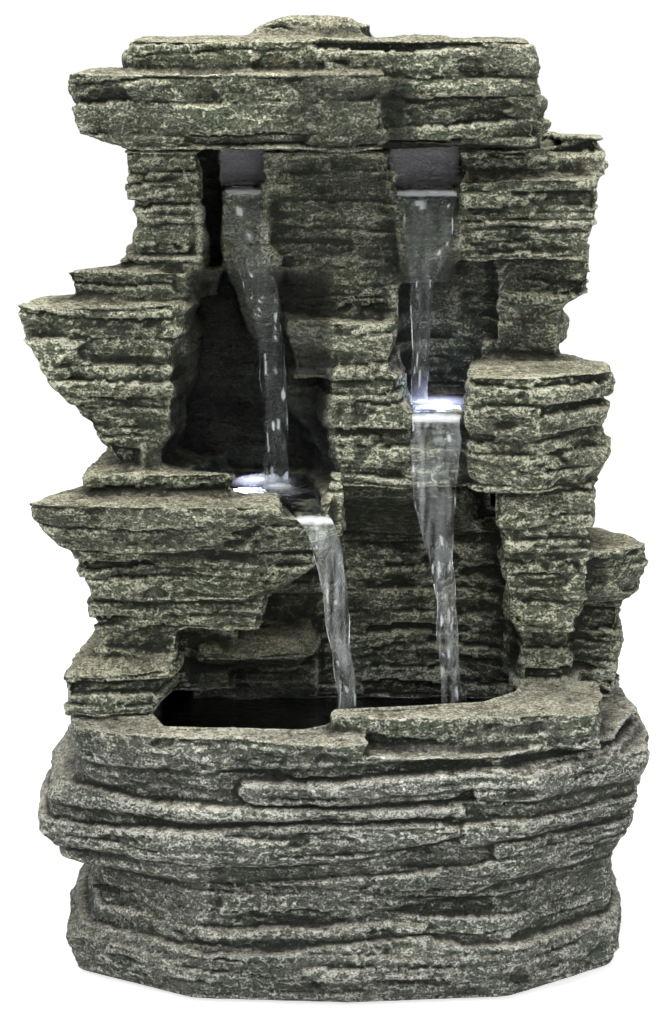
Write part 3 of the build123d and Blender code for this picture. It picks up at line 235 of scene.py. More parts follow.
def rock_blank(node, name, grain):
    """Even-meshed copy of a casting's solid, its corners worn round, ready for carving."""
    blank = bpy.data.objects.new(name, nodes[node].data.copy())
    blank.data.materials.clear()
    bpy.context.scene.collection.objects.link(blank)
    select_only(blank)
    bpy.ops.object.mode_set(mode="EDIT")
    bpy.ops.mesh.select_all(action="SELECT")
    bpy.ops.mesh.remove_doubles(threshold=WELD)
    bpy.ops.object.mode_set(mode="OBJECT")
    apply_modifier(blank, "REMESH", mode="VOXEL", voxel_size=grain * MM)
    apply_modifier(blank, "SMOOTH", factor=0.5, iterations=round(5 / grain))
    return blank


def wear_round(blank, worn, rounds):
    """Wear a blank's corners rounder where worn says, from 0 to 1."""
    places = mesh_arrays(blank.data)[0]
    share = np.round(worn(places) * WEAR_STEPS).astype(int)
    group = blank.vertex_groups.new(name="worn")
    for step in range(1, WEAR_STEPS + 1):
        group.add(np.flatnonzero(share == step).tolist(), step / WEAR_STEPS, "REPLACE")
    apply_modifier(blank, "SMOOTH", factor=0.6, iterations=rounds, vertex_group="worn")
    blank.vertex_groups.clear()


def bed_tops(seed, low, high):
    """Heights in millimetres where one bed ends and the next starts."""
    spread = np.random.default_rng(seed)
    tops = [low]
    while tops[-1] < high:
        thickness = spread.lognormal(BED_LOG_MEAN, BED_LOG_SPREAD)
        tops.append(tops[-1] + np.clip(thickness, BED_THINNEST, BED_THICKEST))
    return np.array(tops, np.float32)


def terraced(value, step, edge):
    """Value in steps of the given height, each rising over the last share edge of its run."""
    run = value / step
    base = np.floor(run)
    return step * (base + eased(run - base, 1 - edge, 1.0))


def carve_beds(blank, rough, seed, slabs=(), sunk=-4.0, bold=1.25, lumpy=None):
    """Press the slate's beds, broken slab ends and crumpled skin into a blank.

    rough gives, for places and normals, how much of the relief each corner takes. slabs are
    the bold beds of a front: each has how proud it stands and its (x, bottom, top) places.
    bold scales the steps between the other beds, which give way to boulders where lumpy says."""
    mesh = blank.data
    places, normals, edges = mesh_arrays(mesh)
    count = len(places)
    broad = normals
    for _ in range(BROAD_ROUNDS):
        broad = neighbour_mean(broad, edges, count)
    broad /= np.maximum(np.linalg.norm(broad, axis=1, keepdims=True), 1e-6)
    steep = eased(1 - np.abs(broad[:, 2]), 0.12, 0.55)
    level_out = broad.copy()
    level_out[:, 2] *= 0.25
    level_out /= np.maximum(np.linalg.norm(level_out, axis=1, keepdims=True), 1e-6)

    # The beds wander and tear.
    wave = 2.2 * ripple(places, (46, 46, 60), seed + 1)
    wave += 0.8 * ripple(places, (13, 13, 12), seed + 2)
    torn = 0.5 * ripple(places, (4.5, 4.5, 3.4), seed + 12)
    torn += 0.25 * ripple(places, (2.0, 2.0, 1.6), seed + 16)
    height = places[:, 2] + 4.2 * ripple(places, (85, 85, 26), seed) + wave + torn
    tops = bed_tops(seed, BEDS_FROM, BEDS_TO)
    bed = np.searchsorted(tops, height) - 1
    thick = tops[bed + 1] - tops[bed]
    up = (height - tops[bed]) / thick
    by_bed = places.copy()
    by_bed[:, 2] = bed * BED_APART

    # The front's bold slabs stand out of a sunk face.
    depth = np.zeros(count, np.float32)
    crumpled = np.ones(count, np.float32)
    if slabs:
        depth += sunk
        x, z = places[:, 0] + 4 * torn, places[:, 2] + 0.5 * wave + torn
        for proud, line in slabs:
            line = np.array(line, np.float32)
            bottom = np.interp(x, line[:, 0], line[:, 1])
            top = np.interp(x, line[:, 0], line[:, 2])
            inside = eased(z - bottom, -1.2, 0.9) * eased(top - z, -0.5, 0.7)
            inside *= eased(x - line[0, 0], -0.8, 0.8) * eased(line[-1, 0] - x, -0.8, 0.8)
            rise = np.clip((z - bottom) / (top - bottom), 0, 1)
            bulge = proud - 1.2 * (2 * rise - 1.15) ** 2
            depth = np.maximum(depth, sunk + (bulge - sunk) * inside)
        crumpled = 0.5 + 0.5 * eased(depth, sunk + 0.8, sunk + 2.2)

    # Each bed steps in or out, breaks off in places, and is undercut where its joint gapes.
    beds = 2.6 * ripple(by_bed, (60, 60, 1), seed + 3) - 1.2
    beds += 1.5 * ripple(by_bed, (22, 22, 1), seed + 19)
    broken = ripple(by_bed, (70, 70, 1), seed + 4) + 0.12 * ripple(places, (7, 7, 4), seed + 5)
    beds -= 1.8 * eased(broken, 0.26, 0.33)
    gaping = eased(ripple(by_bed, (38, 38, 1), seed + 17), -0.15, 0.30)
    beds -= gaping * np.minimum(thick, 8) * 0.18 * (1 - up) ** 1.8
    beds -= gaping * 0.8 * np.exp(-((up * thick) / 0.7) ** 2)
    beds -= (0.3 + 0.5 * gaping) * eased(up, 0.86, 1.0) ** 2
    boulders = np.zeros(count, np.float32) if lumpy is None else lumpy(places)
    depth += bold * beds * (1 - 0.6 * boulders)
    lump = ripple(places, (44, 44, 21), seed + 14) + 0.5 * ripple(places, (19, 19, 10), seed + 15)
    depth += boulders * (4.6 * lump - 0.8)

    # Within a bed lie flat lenses of slate under a crumpled, chipped skin.
    lens = places.copy()
    lens[:, 2] = height
    swing = ripple(lens, (46, 46, 5.5), seed + 6) + 0.5 * ripple(lens, (20, 20, 2.6), seed + 7)
    strata = 0.45 * swing + 0.75 * terraced(swing + 0.25 * torn, 0.75, 0.22)
    strata *= 0.35 + 0.65 * eased(ripple(places, (40, 40, 14), seed + 18), -0.25, 0.25)
    crumple = 1 - 2.2 * np.abs(ripple(places, (5.5, 5.5, 3.6), seed + 8))
    crumple += 0.7 * (1 - 2.2 * np.abs(ripple(places, (2.6, 2.6, 1.9), seed + 9)))
    chips = ripple(places, (21, 21, 10), seed + 10)
    chunks = ripple(places, (17, 17, 9), seed + 20)
    skin = 1.1 * strata + 0.38 * crumple + 1.2 * chunks - 1.3 * eased(chips, 0.40, 0.56)
    depth += skin * crumpled * (1 - 0.35 * boulders)

    # Steep faces move level, and flat ones up or down in split plates.
    take = rough(places, broad)
    places += level_out * (np.maximum(depth, DEEPEST_CUT) * steep * take)[:, None]
    plates = terraced(ripple(places, (33, 33, 33), seed + 21) + 0.2 * torn, 0.35, 0.2)
    grit = ripple(places, (19, 19, 19), seed + 11) + 1.4 * plates + 0.34 * crumple - 0.9
    places[:, 2] += np.sign(broad[:, 2]) * grit * (1 - steep) * take
    low = np.array(cad_box[0], np.float32) / MM + BOX_CLEARANCE
    high = np.array(cad_box[1], np.float32) / MM - BOX_CLEARANCE
    places = np.clip(places, low, high)
    mesh.vertices.foreach_set("co", (places * MM).ravel())
    mesh.update()


# Each mark's rounds of smoothing, its name, and the relief that fills it
MARKS = ((2, "crest", 0.45), (10, "form", 1.1), (50, "mass", 2.2))


def thin_and_paint(blank, triangles, painted_shading):
    """Bring a carved blank to its triangle count and note its crests and hollows for paint.

    The last argument gives, for places, how far painted shade, partly wet darkening, covers a
    corner, or below 0, how far painted light lightens a shaded notch."""
    faces = 2 * len(blank.data.polygons)
    if faces > triangles:
        apply_modifier(blank, "DECIMATE", ratio=triangles / faces)
    mesh = blank.data
    places, normals, edges = mesh_arrays(mesh)
    count = len(places)
    smooth = places
    marks = {}
    for rounds, label, reach in MARKS:
        for _ in range(rounds):
            smooth = 0.4 * smooth + 0.6 * neighbour_mean(smooth, edges, count)
        proud = np.einsum("ij,ij->i", places - smooth, normals)
        marks[label] = np.clip(0.5 + 0.5 * proud / reach, 0, 1).astype(np.float32)
    # Painted shade, partly wet darkening, and painted light in the notches, noted on each corner
    shades = painted_shading(places)
    marks["shade_and_wet"] = np.clip(shades, 0, 1).astype(np.float32)
    marks["notch_painted_light"] = np.clip(-shades, 0, 1).astype(np.float32)
    for label, value in marks.items():
        mesh.attributes.new(label, "FLOAT", "POINT").data.foreach_set("value", value)
    mesh.polygons.foreach_set("use_smooth", np.ones(len(mesh.polygons), bool))
    mesh.update()


class Paint:
    """Short-hand for building one material's nodes."""

    def __init__(self, name):
        self.material = bpy.data.materials.new(name)
        self.material.use_nodes = True
        self.tree = self.material.node_tree
        self.shader = self.tree.nodes["Principled BSDF"]

    def new(self, kind):
        return self.tree.nodes.new("ShaderNode" + kind)

    def set(self, socket, value):
        """Link a node's output to a socket, or write a plain value on it."""
        if isinstance(value, bpy.types.NodeSocket):
            self.tree.links.new(value, socket)
        else:
            socket.default_value = value

    def give(self, name, value):
        """Set one of the shader's own sockets."""
        self.set(self.shader.inputs[name], value)

    def math(self, operation, a, b=0.0, clamp=False):
        made = self.new("Math")
        made.operation = operation
        made.use_clamp = clamp
        self.set(made.inputs[0], a)
        self.set(made.inputs[1], b)
        return made.outputs[0]

    def times(self, a, b):
        return self.math("MULTIPLY", a, b)

    def add(self, total, *shares):
        """The total plus each (value, factor) share."""
        for value, factor in shares:
            total = self.math("ADD", total, self.times(value, factor))
        return total

    def ramp(self, value, start, end):
        """0 at start and 1 at end, whichever is higher, with a smooth ramp between."""
        made = self.new("MapRange")
        made.interpolation_type = "SMOOTHSTEP"
        self.set(made.inputs["Value"], value)
        made.inputs["From Min"].default_value = min(start, end)
        made.inputs["From Max"].default_value = max(start, end)
        made.inputs["To Min"].default_value = 0.0 if start < end else 1.0
        made.inputs["To Max"].default_value = 1.0 if start < end else 0.0
        return made.outputs["Result"]

    def blend(self, share, first, second, kind="MIX"):
        made = self.new("Mix")
        made.data_type = "RGBA"
        made.blend_type = kind
        self.set(made.inputs[0], share)
        self.set(made.inputs[6], first)
        self.set(made.inputs[7], second)
        return made.outputs[2]

    def shade(self, colour, by):
        """A colour multiplied by a share or another colour."""
        return self.blend(1.0, colour, by, "MULTIPLY")

    def noise(self, where, scale, detail=4.0, roughness=0.6, sway=0.0):
        """Cloudy noise from 0 to 1, with scale lumps to the metre."""
        made = self.new("TexNoise")
        made.inputs["Distortion"].default_value = sway
        self.set(made.inputs["Vector"], where)
        made.inputs["Scale"].default_value = scale
        made.inputs["Detail"].default_value = detail
        made.inputs["Roughness"].default_value = roughness
        return made.outputs["Fac"]

    def swing(self, *noise, **sway):
        """The same noise, from -0.5 to 0.5."""
        return self.math("SUBTRACT", self.noise(*noise, **sway), 0.5)

    def along(self, vector, axis):
        """One axis of a vector."""
        made = self.new("SeparateXYZ")
        self.set(made.inputs[0], vector)
        return made.outputs[axis]

    def attribute(self, name):
        """A number noted on each corner of the mesh."""
        made = self.new("Attribute")
        made.attribute_name = name
        return made.outputs["Fac"]

    def stretched(self, scale=(1, 1, 1)):
        """Object coordinates scaled along each axis."""
        where = self.new("TexCoord")
        mapping = self.new("Mapping")
        mapping.inputs["Scale"].default_value = scale
        self.tree.links.new(where.outputs["Object"], mapping.inputs["Vector"])
        return mapping.outputs["Vector"]

    def bump(self, height, distance, strength=1.0, under=None):
        """Relief of the given distance in metres, on top of the relief under it."""
        made = self.new("Bump")
        made.inputs["Strength"].default_value = strength
        made.inputs["Distance"].default_value = distance
        self.set(made.inputs["Height"], height)
        if under is not None:
            self.set(made.inputs["Normal"], under)
        return made.outputs["Normal"]


def rgb(red, green, blue):
    return (red, green, blue, 1.0)


# The paint's dark wash, also the colour of painted shade in the recesses
DARK_WASH_AND_SHADE = rgb(0.016, 0.021, 0.014)
BODY_GREEN = rgb(0.130, 0.155, 0.115)
BODY_GREY = rgb(0.205, 0.215, 0.180)
RUST = rgb(0.250, 0.190, 0.130)
MOSS = rgb(0.068, 0.105, 0.065)
DRY_BRUSH = rgb(0.78, 0.78, 0.69)
# Dust on the tops, pale enough to stand for painted top light too
PALE_DUST_AND_TOP_LIGHT = rgb(0.78, 0.745, 0.62)
DIM_DUST_AND_TOP_LIGHT = rgb(0.38, 0.36, 0.285)
# Pale paint standing for light in the notches, which lie in shade
PAINTED_NOTCH_LIGHT = rgb(0.88, 0.85, 0.90)
OLIVE = rgb(1.0, 1.0, 0.86)
FINE_GRAIN = 1100
BUBBLES = 95.0

stone = Paint("stone_resin")
level = stone.stretched()
bedded = stone.stretched((1, 1, 2.0))
crest = stone.attribute("crest")
form = stone.attribute("form")
mass = stone.attribute("mass")
# Painted shade, partly wet, and painted notch light, noted on each corner
shade_and_wet = stone.attribute("shade_and_wet")
facing = stone.new("NewGeometry")
upright = stone.along(facing.outputs["Normal"], "Z")

# Ground colours in clouds, with rusty and mossy patches, and stone dust on what faces up, pale
# enough to be painted top light as well.
tint = stone.blend(stone.ramp(stone.noise(level, 38, 3), 0.38, 0.62), BODY_GREEN, BODY_GREY)
rusty = stone.ramp(stone.noise(level, 55, 4), 0.60, 0.72)
tint = stone.blend(stone.times(rusty, 0.45), tint, RUST)
mossy = stone.ramp(stone.noise(level, 31, 3), 0.58, 0.75)
tint = stone.blend(stone.times(mossy, 0.6), tint, MOSS)
dust_and_top_light = stone.blend(stone.ramp(stone.noise(level, 130, 6, 0.75), 0.36, 0.64), DIM_DUST_AND_TOP_LIGHT, PALE_DUST_AND_TOP_LIGHT)
tint = stone.blend(stone.ramp(upright, 0.35, 0.85), tint, dust_and_top_light)

# Dark wash in the hollows, creases, hairline veins and pinholes.
fine = stone.swing(level, FINE_GRAIN, 2, 0.6)
grainy = stone.swing(bedded, 380, 3, 0.65)
vein = stone.math("ABSOLUTE", stone.swing(bedded, 170, 4, 0.7, sway=0.5))
flaky = stone.swing(bedded, 150, 4, 0.7)
fold = stone.math("ABSOLUTE", stone.swing(bedded, 125, 4, 0.62, sway=0.7))
ridged = stone.ramp(fold, 0.10, 0.0)
sunk = stone.ramp(form, 0.48, 0.06)
creased = stone.ramp(crest, 0.40, 0.08)
bubble = stone.new("TexVoronoi")
stone.set(bubble.inputs["Vector"], level)
bubble.inputs["Scale"].default_value = BUBBLES
pinhole = stone.times(stone.ramp(bubble.outputs["Distance"], 0.12, 0.07),
                      stone.ramp(stone.along(bubble.outputs["Color"], "X"), 0.78, 0.80))
cracks = stone.math("MAXIMUM", stone.times(stone.ramp(vein, 0.016, 0.0), 0.8), pinhole)
dark = stone.math("MAXIMUM", stone.math("MAXIMUM", sunk, creased), cracks)
tint = stone.blend(stone.times(dark, 0.80), tint, DARK_WASH_AND_SHADE)

# Pale dry brush on the crests, along the sharpest edges and the folds of the skin.
edge = stone.add(crest, (fine, 1.1), (grainy, 0.85), (flaky, 0.35),
                 (stone.math("SUBTRACT", form, 0.5), 0.25),
                 (stone.math("SUBTRACT", ridged, 0.4), 0.60))
rim = stone.ramp(stone.add(crest, (grainy, 0.9)), 0.78, 1.05)
lines = stone.times(stone.ramp(fold, 0.022, 0.006), stone.ramp(crest, 0.30, 0.62))
rim = stone.math("MAXIMUM", rim, lines)
brushed = stone.math("MAXIMUM", stone.times(stone.ramp(edge, 0.52, 1.25), 0.80),
                     stone.times(rim, 0.85))
brushed = stone.times(brushed, stone.ramp(shade_and_wet, 1.25, 0.15))
brushed = stone.times(brushed, stone.math("SUBTRACT", 1.0, pinhole))
tint = stone.blend(brushed, tint, DRY_BRUSH)

# Sandy grain; painted light where the stone stands proud, painted shade where it is sunk and
# underneath.
gritty = stone.add(stone.times(fine, 3.4), (grainy, 1.7))
tint = stone.shade(tint, stone.math("MAXIMUM", stone.math("ADD", gritty, 1.0), 0.18))
# Painted light on proud stone and painted shade on sunk stone, broken by random tone
proud = stone.math("ADD", stone.times(stone.ramp(mass, 0.12, 0.88), 0.72),
                   stone.times(stone.noise(level, 24, 2), 1.3))
tint = stone.shade(tint, proud)
# Painted shade on faces that look down
under = stone.math("ADD", stone.times(stone.ramp(upright, -0.8, 0.1), 0.45), 0.55)
tint = stone.shade(tint, under)

# Olive above the basin; painted shade, partly wet darkening, in the recesses, the basin and under
# overhangs; and painted light in the shaded notches.
olive = stone.ramp(stone.along(level, "Z"), 0.095, 0.135)
tint = stone.blend(olive, tint, stone.shade(tint, OLIVE))
tint = stone.blend(stone.times(shade_and_wet, 0.55), tint, DARK_WASH_AND_SHADE)
tint = stone.shade(tint, stone.math("SUBTRACT", 1.0, stone.times(shade_and_wet, 0.62)))
tint = stone.blend(stone.times(stone.attribute("notch_painted_light"), 0.9), tint, PAINTED_NOTCH_LIGHT)
stone.give("Base Color", tint)

# Matt, but smoother where it is wet, with its finest relief in bump.
dull = stone.math("ADD", stone.times(stone.noise(level, 300, 3), 0.2), 0.66)
stone.give("Roughness", stone.math("SUBTRACT", dull, stone.times(shade_and_wet, 0.42)))
stone.give("Specular IOR Level", 0.35)
bumps = None
for relief, distance in ((cracks, -0.0006), (ridged, 0.0011), (flaky, 0.0025), (grainy, 0.0020),
                         (stone.noise(level, FINE_GRAIN, 4, 0.75), 0.0012)):
    bumps = stone.bump(relief, distance, 1.0, bumps)
stone.give("Normal", bumps)


def everywhere(places, normals):
    """Full relief, fading out near the floor that the casting stands on."""
    return eased(places[:, 2], 1.2, 4.0)


def finish_rock(blank, node, body="fountain"):
    """Paint a carved blank and let it stand for its casting."""
    blank.data.materials.append(stone.material)
    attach(blank, body)
    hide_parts(node)


# Half length and depth of the basin's wall, and of the box that it lies in
BASIN_HALF = (115, 84)
BASIN_BOX = (118, 86)


def base_rough(places, normals):
    """Full relief outside; little on the basin's walls and floor, which face its middle."""
    x, y, z = places.T
    inward = -(normals[:, 0] * x / 1.3 + normals[:, 1] * y) / np.hypot(x / 1.3, y)
    core = (np.hypot(x / BASIN_HALF[0], y / BASIN_HALF[1]) < 0.8) & (z > 8) & (z < 60)
    inside = ((inward > 0.2) | core) & (np.abs(x) < BASIN_BOX[0]) & (np.abs(y) < BASIN_BOX[1])
    return np.where(inside, 0.12, 1.0) * everywhere(places, normals)


# The plinth's bold beds: (how proud, ((x, bottom, top), ...))
BASE_SLABS = (
    (0.6, ((-140, 98, 125), (-91, 97.5, 125), (-57, 97, 125), (-41, 100, 125), (0, 103, 125),
           (60, 104, 125), (140, 102, 125))),
    (1.6, ((-41, 86, 95), (4, 85.5, 96), (46, 87, 98), (57, 93, 99))),
    (0.4, ((55, 84, 99), (90, 86, 100), (140, 84, 101))),
    (0.2, ((-140, 77, 88), (-100, 77, 85), (-76, 76.5, 83.5), (-57, 76, 83), (-38, 78, 85),
           (0, 80, 84), (52, 79, 84))),
    (1.0, ((-140, 56, 69), (-100, 57, 70), (-70, 58, 72), (-50, 57, 74), (-21, 59, 77),
           (8, 62, 77), (40, 68, 77), (50, 71, 75))),
    (0.2, ((50, 66, 76), (70, 69, 78), (110, 70, 77), (140, 69, 77))),
    (-0.6, ((64, 59, 68), (90, 58, 67), (140, 56, 65))),
    (-0.2, ((-49, 35, 46), (-33, 36, 49.5), (4, 35, 53), (24, 38, 54), (53, 43, 57),
            (68, 50, 61), (100, 50, 60), (108, 51, 59))),
    (-1.4, ((-60, 24, 29), (-20, 26, 31), (24, 26, 33), (36, 28, 32))),
    (0.8, ((-140, 0, 24), (-100, 0, 23), (-76, 0, 23), (-57, 0, 20), (-34, 0, 21), (4, 0, 25),
           (36, 0, 27), (50, 0, 23), (100, 0, 24), (140, 0, 24))),
)


def base_darkening(places):
    """Painted shade, partly wet darkening, in the basin, and a little darker towards the foot."""
    x, y, z = places.T
    basin = 0.85 * eased(1.0 - np.hypot(x / 108, y / 80), 0.0, 0.06)
    return np.maximum(basin * eased(z, 8, 12) * eased(-z, -116, -108), 0.22 * eased(30 - z, 0, 8))


def base_worn(places):
    """Worn round on the plinth's outside, crisp on the rim and in the basin."""
    x, y, z = places.T
    return eased(np.hypot(x / 114, y / 86), 0.92, 1.0) * eased(-z, -98, -90) * eased(z, -0.5, 2)


base = rock_blank("base_casting", "basin_rock", GRAIN)
wear_round(base, base_worn, round(150 / GRAIN ** 2))
carve_beds(base, base_rough, 11, BASE_SLABS, sunk=-3.4, bold=0.6)
thin_and_paint(base, ROCK_TRIANGLES, base_darkening)
finish_rock(base, "base_casting")


# ------------ tower casting
# The ledges, alcoves and middle pools: one casting glued on the basin's rim, open at the back
# to a smooth service shaft.
LIGHT_SPOTS = ((-38, -12, 193), (42, -17, 232))
OUTLETS = ((-49, -32), (23, 49))
OUTLET_HEIGHT = 325.5
JOINT_BACK = 85.5
SHAFT_LEFT, SHAFT_RIGHT, SHAFT_FRONT = -83, 85, 24
SMOOTH_MARGIN = 0.8
# Moulded-out hollows, left smooth: (x from, x to, front, bottom, top)
HOLLOWS = (
    (-86, -54, -12, 122, 174), (-84, -68, -20, 170, 200), (-80, -68, -4, 266, 320),
    (-18, 12, 0, 258, 306), (66, 92, -6, 304, 336), (74, 90, 10, 264, 306),
    (66, 96, -28, 188, 248),
)


def tower_rough(places, normals):
    """Full relief outside; none in the shaft, hollows and bores, little where water runs."""
    x, y, z = places.T
    take = eased(JOINT_BACK - y, 0, 5)
    take[(x > SHAFT_LEFT) & (x < SHAFT_RIGHT) & (y > SHAFT_FRONT)] = 0
    near = SMOOTH_MARGIN
    for left, right, front, bottom, top in HOLLOWS:
        within = (x > left - near) & (x < right + near) & (y > front - near)
        within &= (y < SHAFT_FRONT + 3) & (z > bottom - near) & (z < top + near)
        take[within] = 0
    for light_x, light_y, floor in LIGHT_SPOTS:
        around = np.hypot(x - light_x, y - light_y)
        take *= np.where(np.abs(z - floor + 4) < 7, eased(around, 10.5, 13), 1)
        bore = np.hypot(x - light_x, z - floor + 4.5)
        take *= np.where(y > light_y, eased(bore, 6, 8), 1)
    for left, right in OUTLETS:
        bore = np.hypot(x - (left + right) / 2, z - OUTLET_HEIGHT)
        take *= np.where(y > 10, eased(bore, 5.5, 8), 1)
        run = eased(x - left, -6, 0) * eased(right - x, -6, 0) * eased(z, 262, 270)
        take *= 1 - 0.65 * run * eased(y, -30, -26) * eased(333 - z, 0, 2)
    return take


# Recesses darkened with painted shade, partly as wet rock: (x from, x to, bottom, top, front,
# darkness)
SHADED_WET_RECESSES = (
    (-66, -2, 198, 300, -52, 1.0),
    (-84, -60, 198, 262, -52, 1.0),
    (-59, -46, 285, 345, -44, 0.9),
    (-51, -30, 255, 328, -44, 0.75),
    (-34, 28, 286, 350, -62, 0.40),
    (-33, 26, 286, 300, -40, 0.30),
    (23, 51, 286, 328, -46, 0.80),
    (50, 64, 246, 304, -40, 0.40),
    (22, 56, 236, 300, -34, 0.45),
    (60, 98, 252, 302, -30, 0.25),
    (26, 56, 205, 240, -66, 0.30),
    (-78, 80, 96, 203, -40, 0.10),
    (-66, -8, 96, 147, -66, 0.55),
    (-30, -8, 140, 176, -60, 0.50),
    (-10, 60, 175, 202, -64, 0.50),
    (72, 104, 110, 146, -30, 0.45),
)


def tower_shading(places):
    """Painted shade, partly wet darkening, in the alcoves and round the notches; painted light
    inside the notches; clean on the ledges.
    """
    x, y, z = places.T
    most = np.zeros(len(places), np.float32)
    for left, right, bottom, top, front, darkness in SHADED_WET_RECESSES:
        inside = eased(x - left, -2, 5) * eased(right - x, -2, 5)
        inside *= eased(z - bottom, -2, 5) * eased(top - z, -2, 8) * eased(y - front, 4, 22)
        most = np.maximum(most, darkness * inside)
    # Painted light inside each notch, which lies in the cap's shade
    for left, right in OUTLETS:
        notch = (x > left - 2) & (x < right + 2) & (z > 327.4) & (y > -13)
        most = np.where(notch, -eased(y, -13, -4), most)
    return most


def tower_lumps(places):
    """Boulders instead of beds in the alcoves."""
    return np.clip(tower_shading(places) * 3, 0, 1)


def tower_worn(places):
    """Broken corners outside; crisp in the shaft and the hollows behind it."""
    return eased(20 - places[:, 1], 0, 6)


tower = rock_blank("tower_casting", "tower_rock", GRAIN)
wear_round(tower, tower_worn, round(16 / GRAIN ** 2))
carve_beds(tower, tower_rough, 23, lumpy=tower_lumps)
thin_and_paint(tower, ROCK_TRIANGLES, tower_shading)
finish_rock(tower, "tower_casting")


# ------------ cap casting
# The flat top stone: one hollow casting in the same resin, glued on the tower over the two
# outlets, which it hides.
def cap_shading(places):
    """Painted shade under the cap, painted shadow in the gap beside its left block, and lighter
    painted shade on its turned facet.
    """
    x, y, z = places.T
    gap = eased(x - 17, 0, 4) * eased(34 - x, 0, 9) * eased(379 - z, 0, 4)
    below = eased(353 - z, 0, 5) * eased(y + 54, 4, 16)
    facet = 0.38 * eased(x, -22, -19) * eased(22 - x, 0, 3) * eased(380 - z, 0, 2)
    return np.maximum(np.maximum(below, 0.75 * gap), facet * eased(-y, 48, 52))


def cap_worn(places):
    """Broken corners all over, but for the glued joint under it."""
    return eased(places[:, 2], 351, 354)


cap = rock_blank("cap_casting", "cap_rock", GRAIN)
wear_round(cap, cap_worn, round(16 / GRAIN ** 2))
carve_beds(cap, everywhere, 37)
thin_and_paint(cap, ROCK_TRIANGLES, cap_shading)
finish_rock(cap, "cap_casting")


# ------------ rear casting
# The back plate: a cast slab of the same resin with low slate beds outside, glued to the
# tower, with a smooth rebate for the service door and a flat pad for the power inlet.
DOOR_MIDDLE = 168
DOOR_HALF = (46, 45)
INLET_PLACE = (68, 128)
INLET_PAD = 14


def beside(places, middle, half, reach):
    """0 within a flat rectangle of the back and 1 beyond reach of it."""
    away = np.maximum(np.abs(places[:, 0] - middle[0]) - half[0],
                      np.abs(places[:, 2] - middle[1]) - half[1])
    return eased(away, 1.5, reach)


def rear_rough(places, normals):
    """Relief outside only, away from the door's rebate, the inlet's pad and the glued joints."""
    x, y, z = places.T
    take = beside(places, (0, DOOR_MIDDLE), DOOR_HALF, 6)
    take *= beside(places, INLET_PLACE, (10, 10), 4)
    take *= eased(y, 87.5, 91) * eased(z, 114, 117) * eased(344 - z, 0, 3)
    from_inlet = np.hypot(x - INLET_PLACE[0], z - INLET_PLACE[1])
    return take * np.where(from_inlet < INLET_PAD, 0, 1)


def rear_wash(places):
    """Dry all over."""
    return np.zeros(len(places), np.float32)


rear = rock_blank("rear_casting", "rear_rock", GRAIN)
carve_beds(rear, rear_rough, 53, bold=0.6)
thin_and_paint(rear, ROCK_TRIANGLES, rear_wash)
finish_rock(rear, "rear_casting")


# ------------ service door
# The pull-out door in the rear casting: cast in the same resin, its outside in low beds that
# carry on the plate's, with a plain finger grip in its top edge.
DOOR_REACH = (42.5, 41.5)
GRIP_REACH = (13, 12)


def door_rough(places, normals):
    """Relief on the outer face, away from the door's edges and its finger grip."""
    x, y, z = places.T
    take = eased(y, 95.8, 97) * eased(DOOR_REACH[0] - np.abs(x), 0, 2.5)
    take *= eased(DOOR_REACH[1] - np.abs(z - DOOR_MIDDLE), 0, 2.5)
    return take * beside(places, (0, DOOR_MIDDLE + DOOR_HALF[1]), GRIP_REACH, 4)


door = rock_blank("service_door", "door_rock", GRAIN * 0.8)
carve_beds(door, door_rough, 59, bold=0.35)
thin_and_paint(door, ROCK_TRIANGLES // 2, rear_wash)
finish_rock(door, "service_door", "service_door")


# ------------ water
# The running water: a film out of each notch and down its chute, a fall into each middle pool,
# the two pools, the overflow from each into the basin, and the basin's dark water.
POOL_GLOW = (0.62, 0.66, 1.0)
# Each pool's surface height, how far the painted glow of its lamp reaches in the water in
# millimetres, and how strongly
GLOWS = ((203.6, 15, 0.22), (239.6, 21, 0.85))
WATER_IOR = 1.16
FALL_STEP = 0.8
AROUND = 40
EVENED_ROWS = 11

water = Paint("water")
water.give("Base Color", rgb(0.93, 0.96, 0.97))
water.give("IOR", WATER_IOR)
threads = water.noise(water.stretched((1, 1, 0.12)), 420, 4, 0.65)
froth_and_highlight = water.attribute("froth_and_highlight")
# Froth, and white painted highlights where the water turns over an edge, make it milky
milky_and_highlight = water.math("MAXIMUM", water.times(water.ramp(threads, 0.54, 0.74), 0.02), froth_and_highlight)
water.give("Transmission Weight", water.math("SUBTRACT", 1.0, water.times(milky_and_highlight, 0.8)))
water.give("Roughness", water.times(milky_and_highlight, 0.35))
beads = water.noise(water.stretched((1, 1, 0.35)), 260, 3, 0.6)
water.give("Normal", water.bump(beads, 0.0006, 0.3))
# Painted light: the water glows round each pool lamp
glow = None
for (light_x, light_y, _), (surface, reach, power) in zip(LIGHT_SPOTS, GLOWS):
    far = water.new("VectorMath")
    far.operation = "DISTANCE"
    water.set(far.inputs[0], water.stretched())
    far.inputs[1].default_value = (light_x * MM, light_y * MM, surface * MM)
    near = water.ramp(far.outputs["Value"], reach * MM, 0.001)
    near = water.times(water.times(near, near), power)
    glow = near if glow is None else water.math("ADD", glow, near)
water.give("Emission Color", water.blend(glow, rgb(0, 0, 0), rgb(*POOL_GLOW)))
water.give("Emission Strength", 1.6)


def wet_piece(name, mesh, froth_and_highlight):
    """A piece of water that stays with the fountain, milky where its froth and painted highlights
    say.
    """
    piece = bpy.data.objects.new(name, mesh)
    bpy.context.scene.collection.objects.link(piece)
    mesh.attributes.new("froth_and_highlight", "FLOAT", "POINT").data.foreach_set("value", froth_and_highlight)
    mesh.polygons.foreach_set("use_smooth", np.ones(len(mesh.polygons), bool))
    mesh.materials.append(water.material)
    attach(piece, "fountain")
    return piece


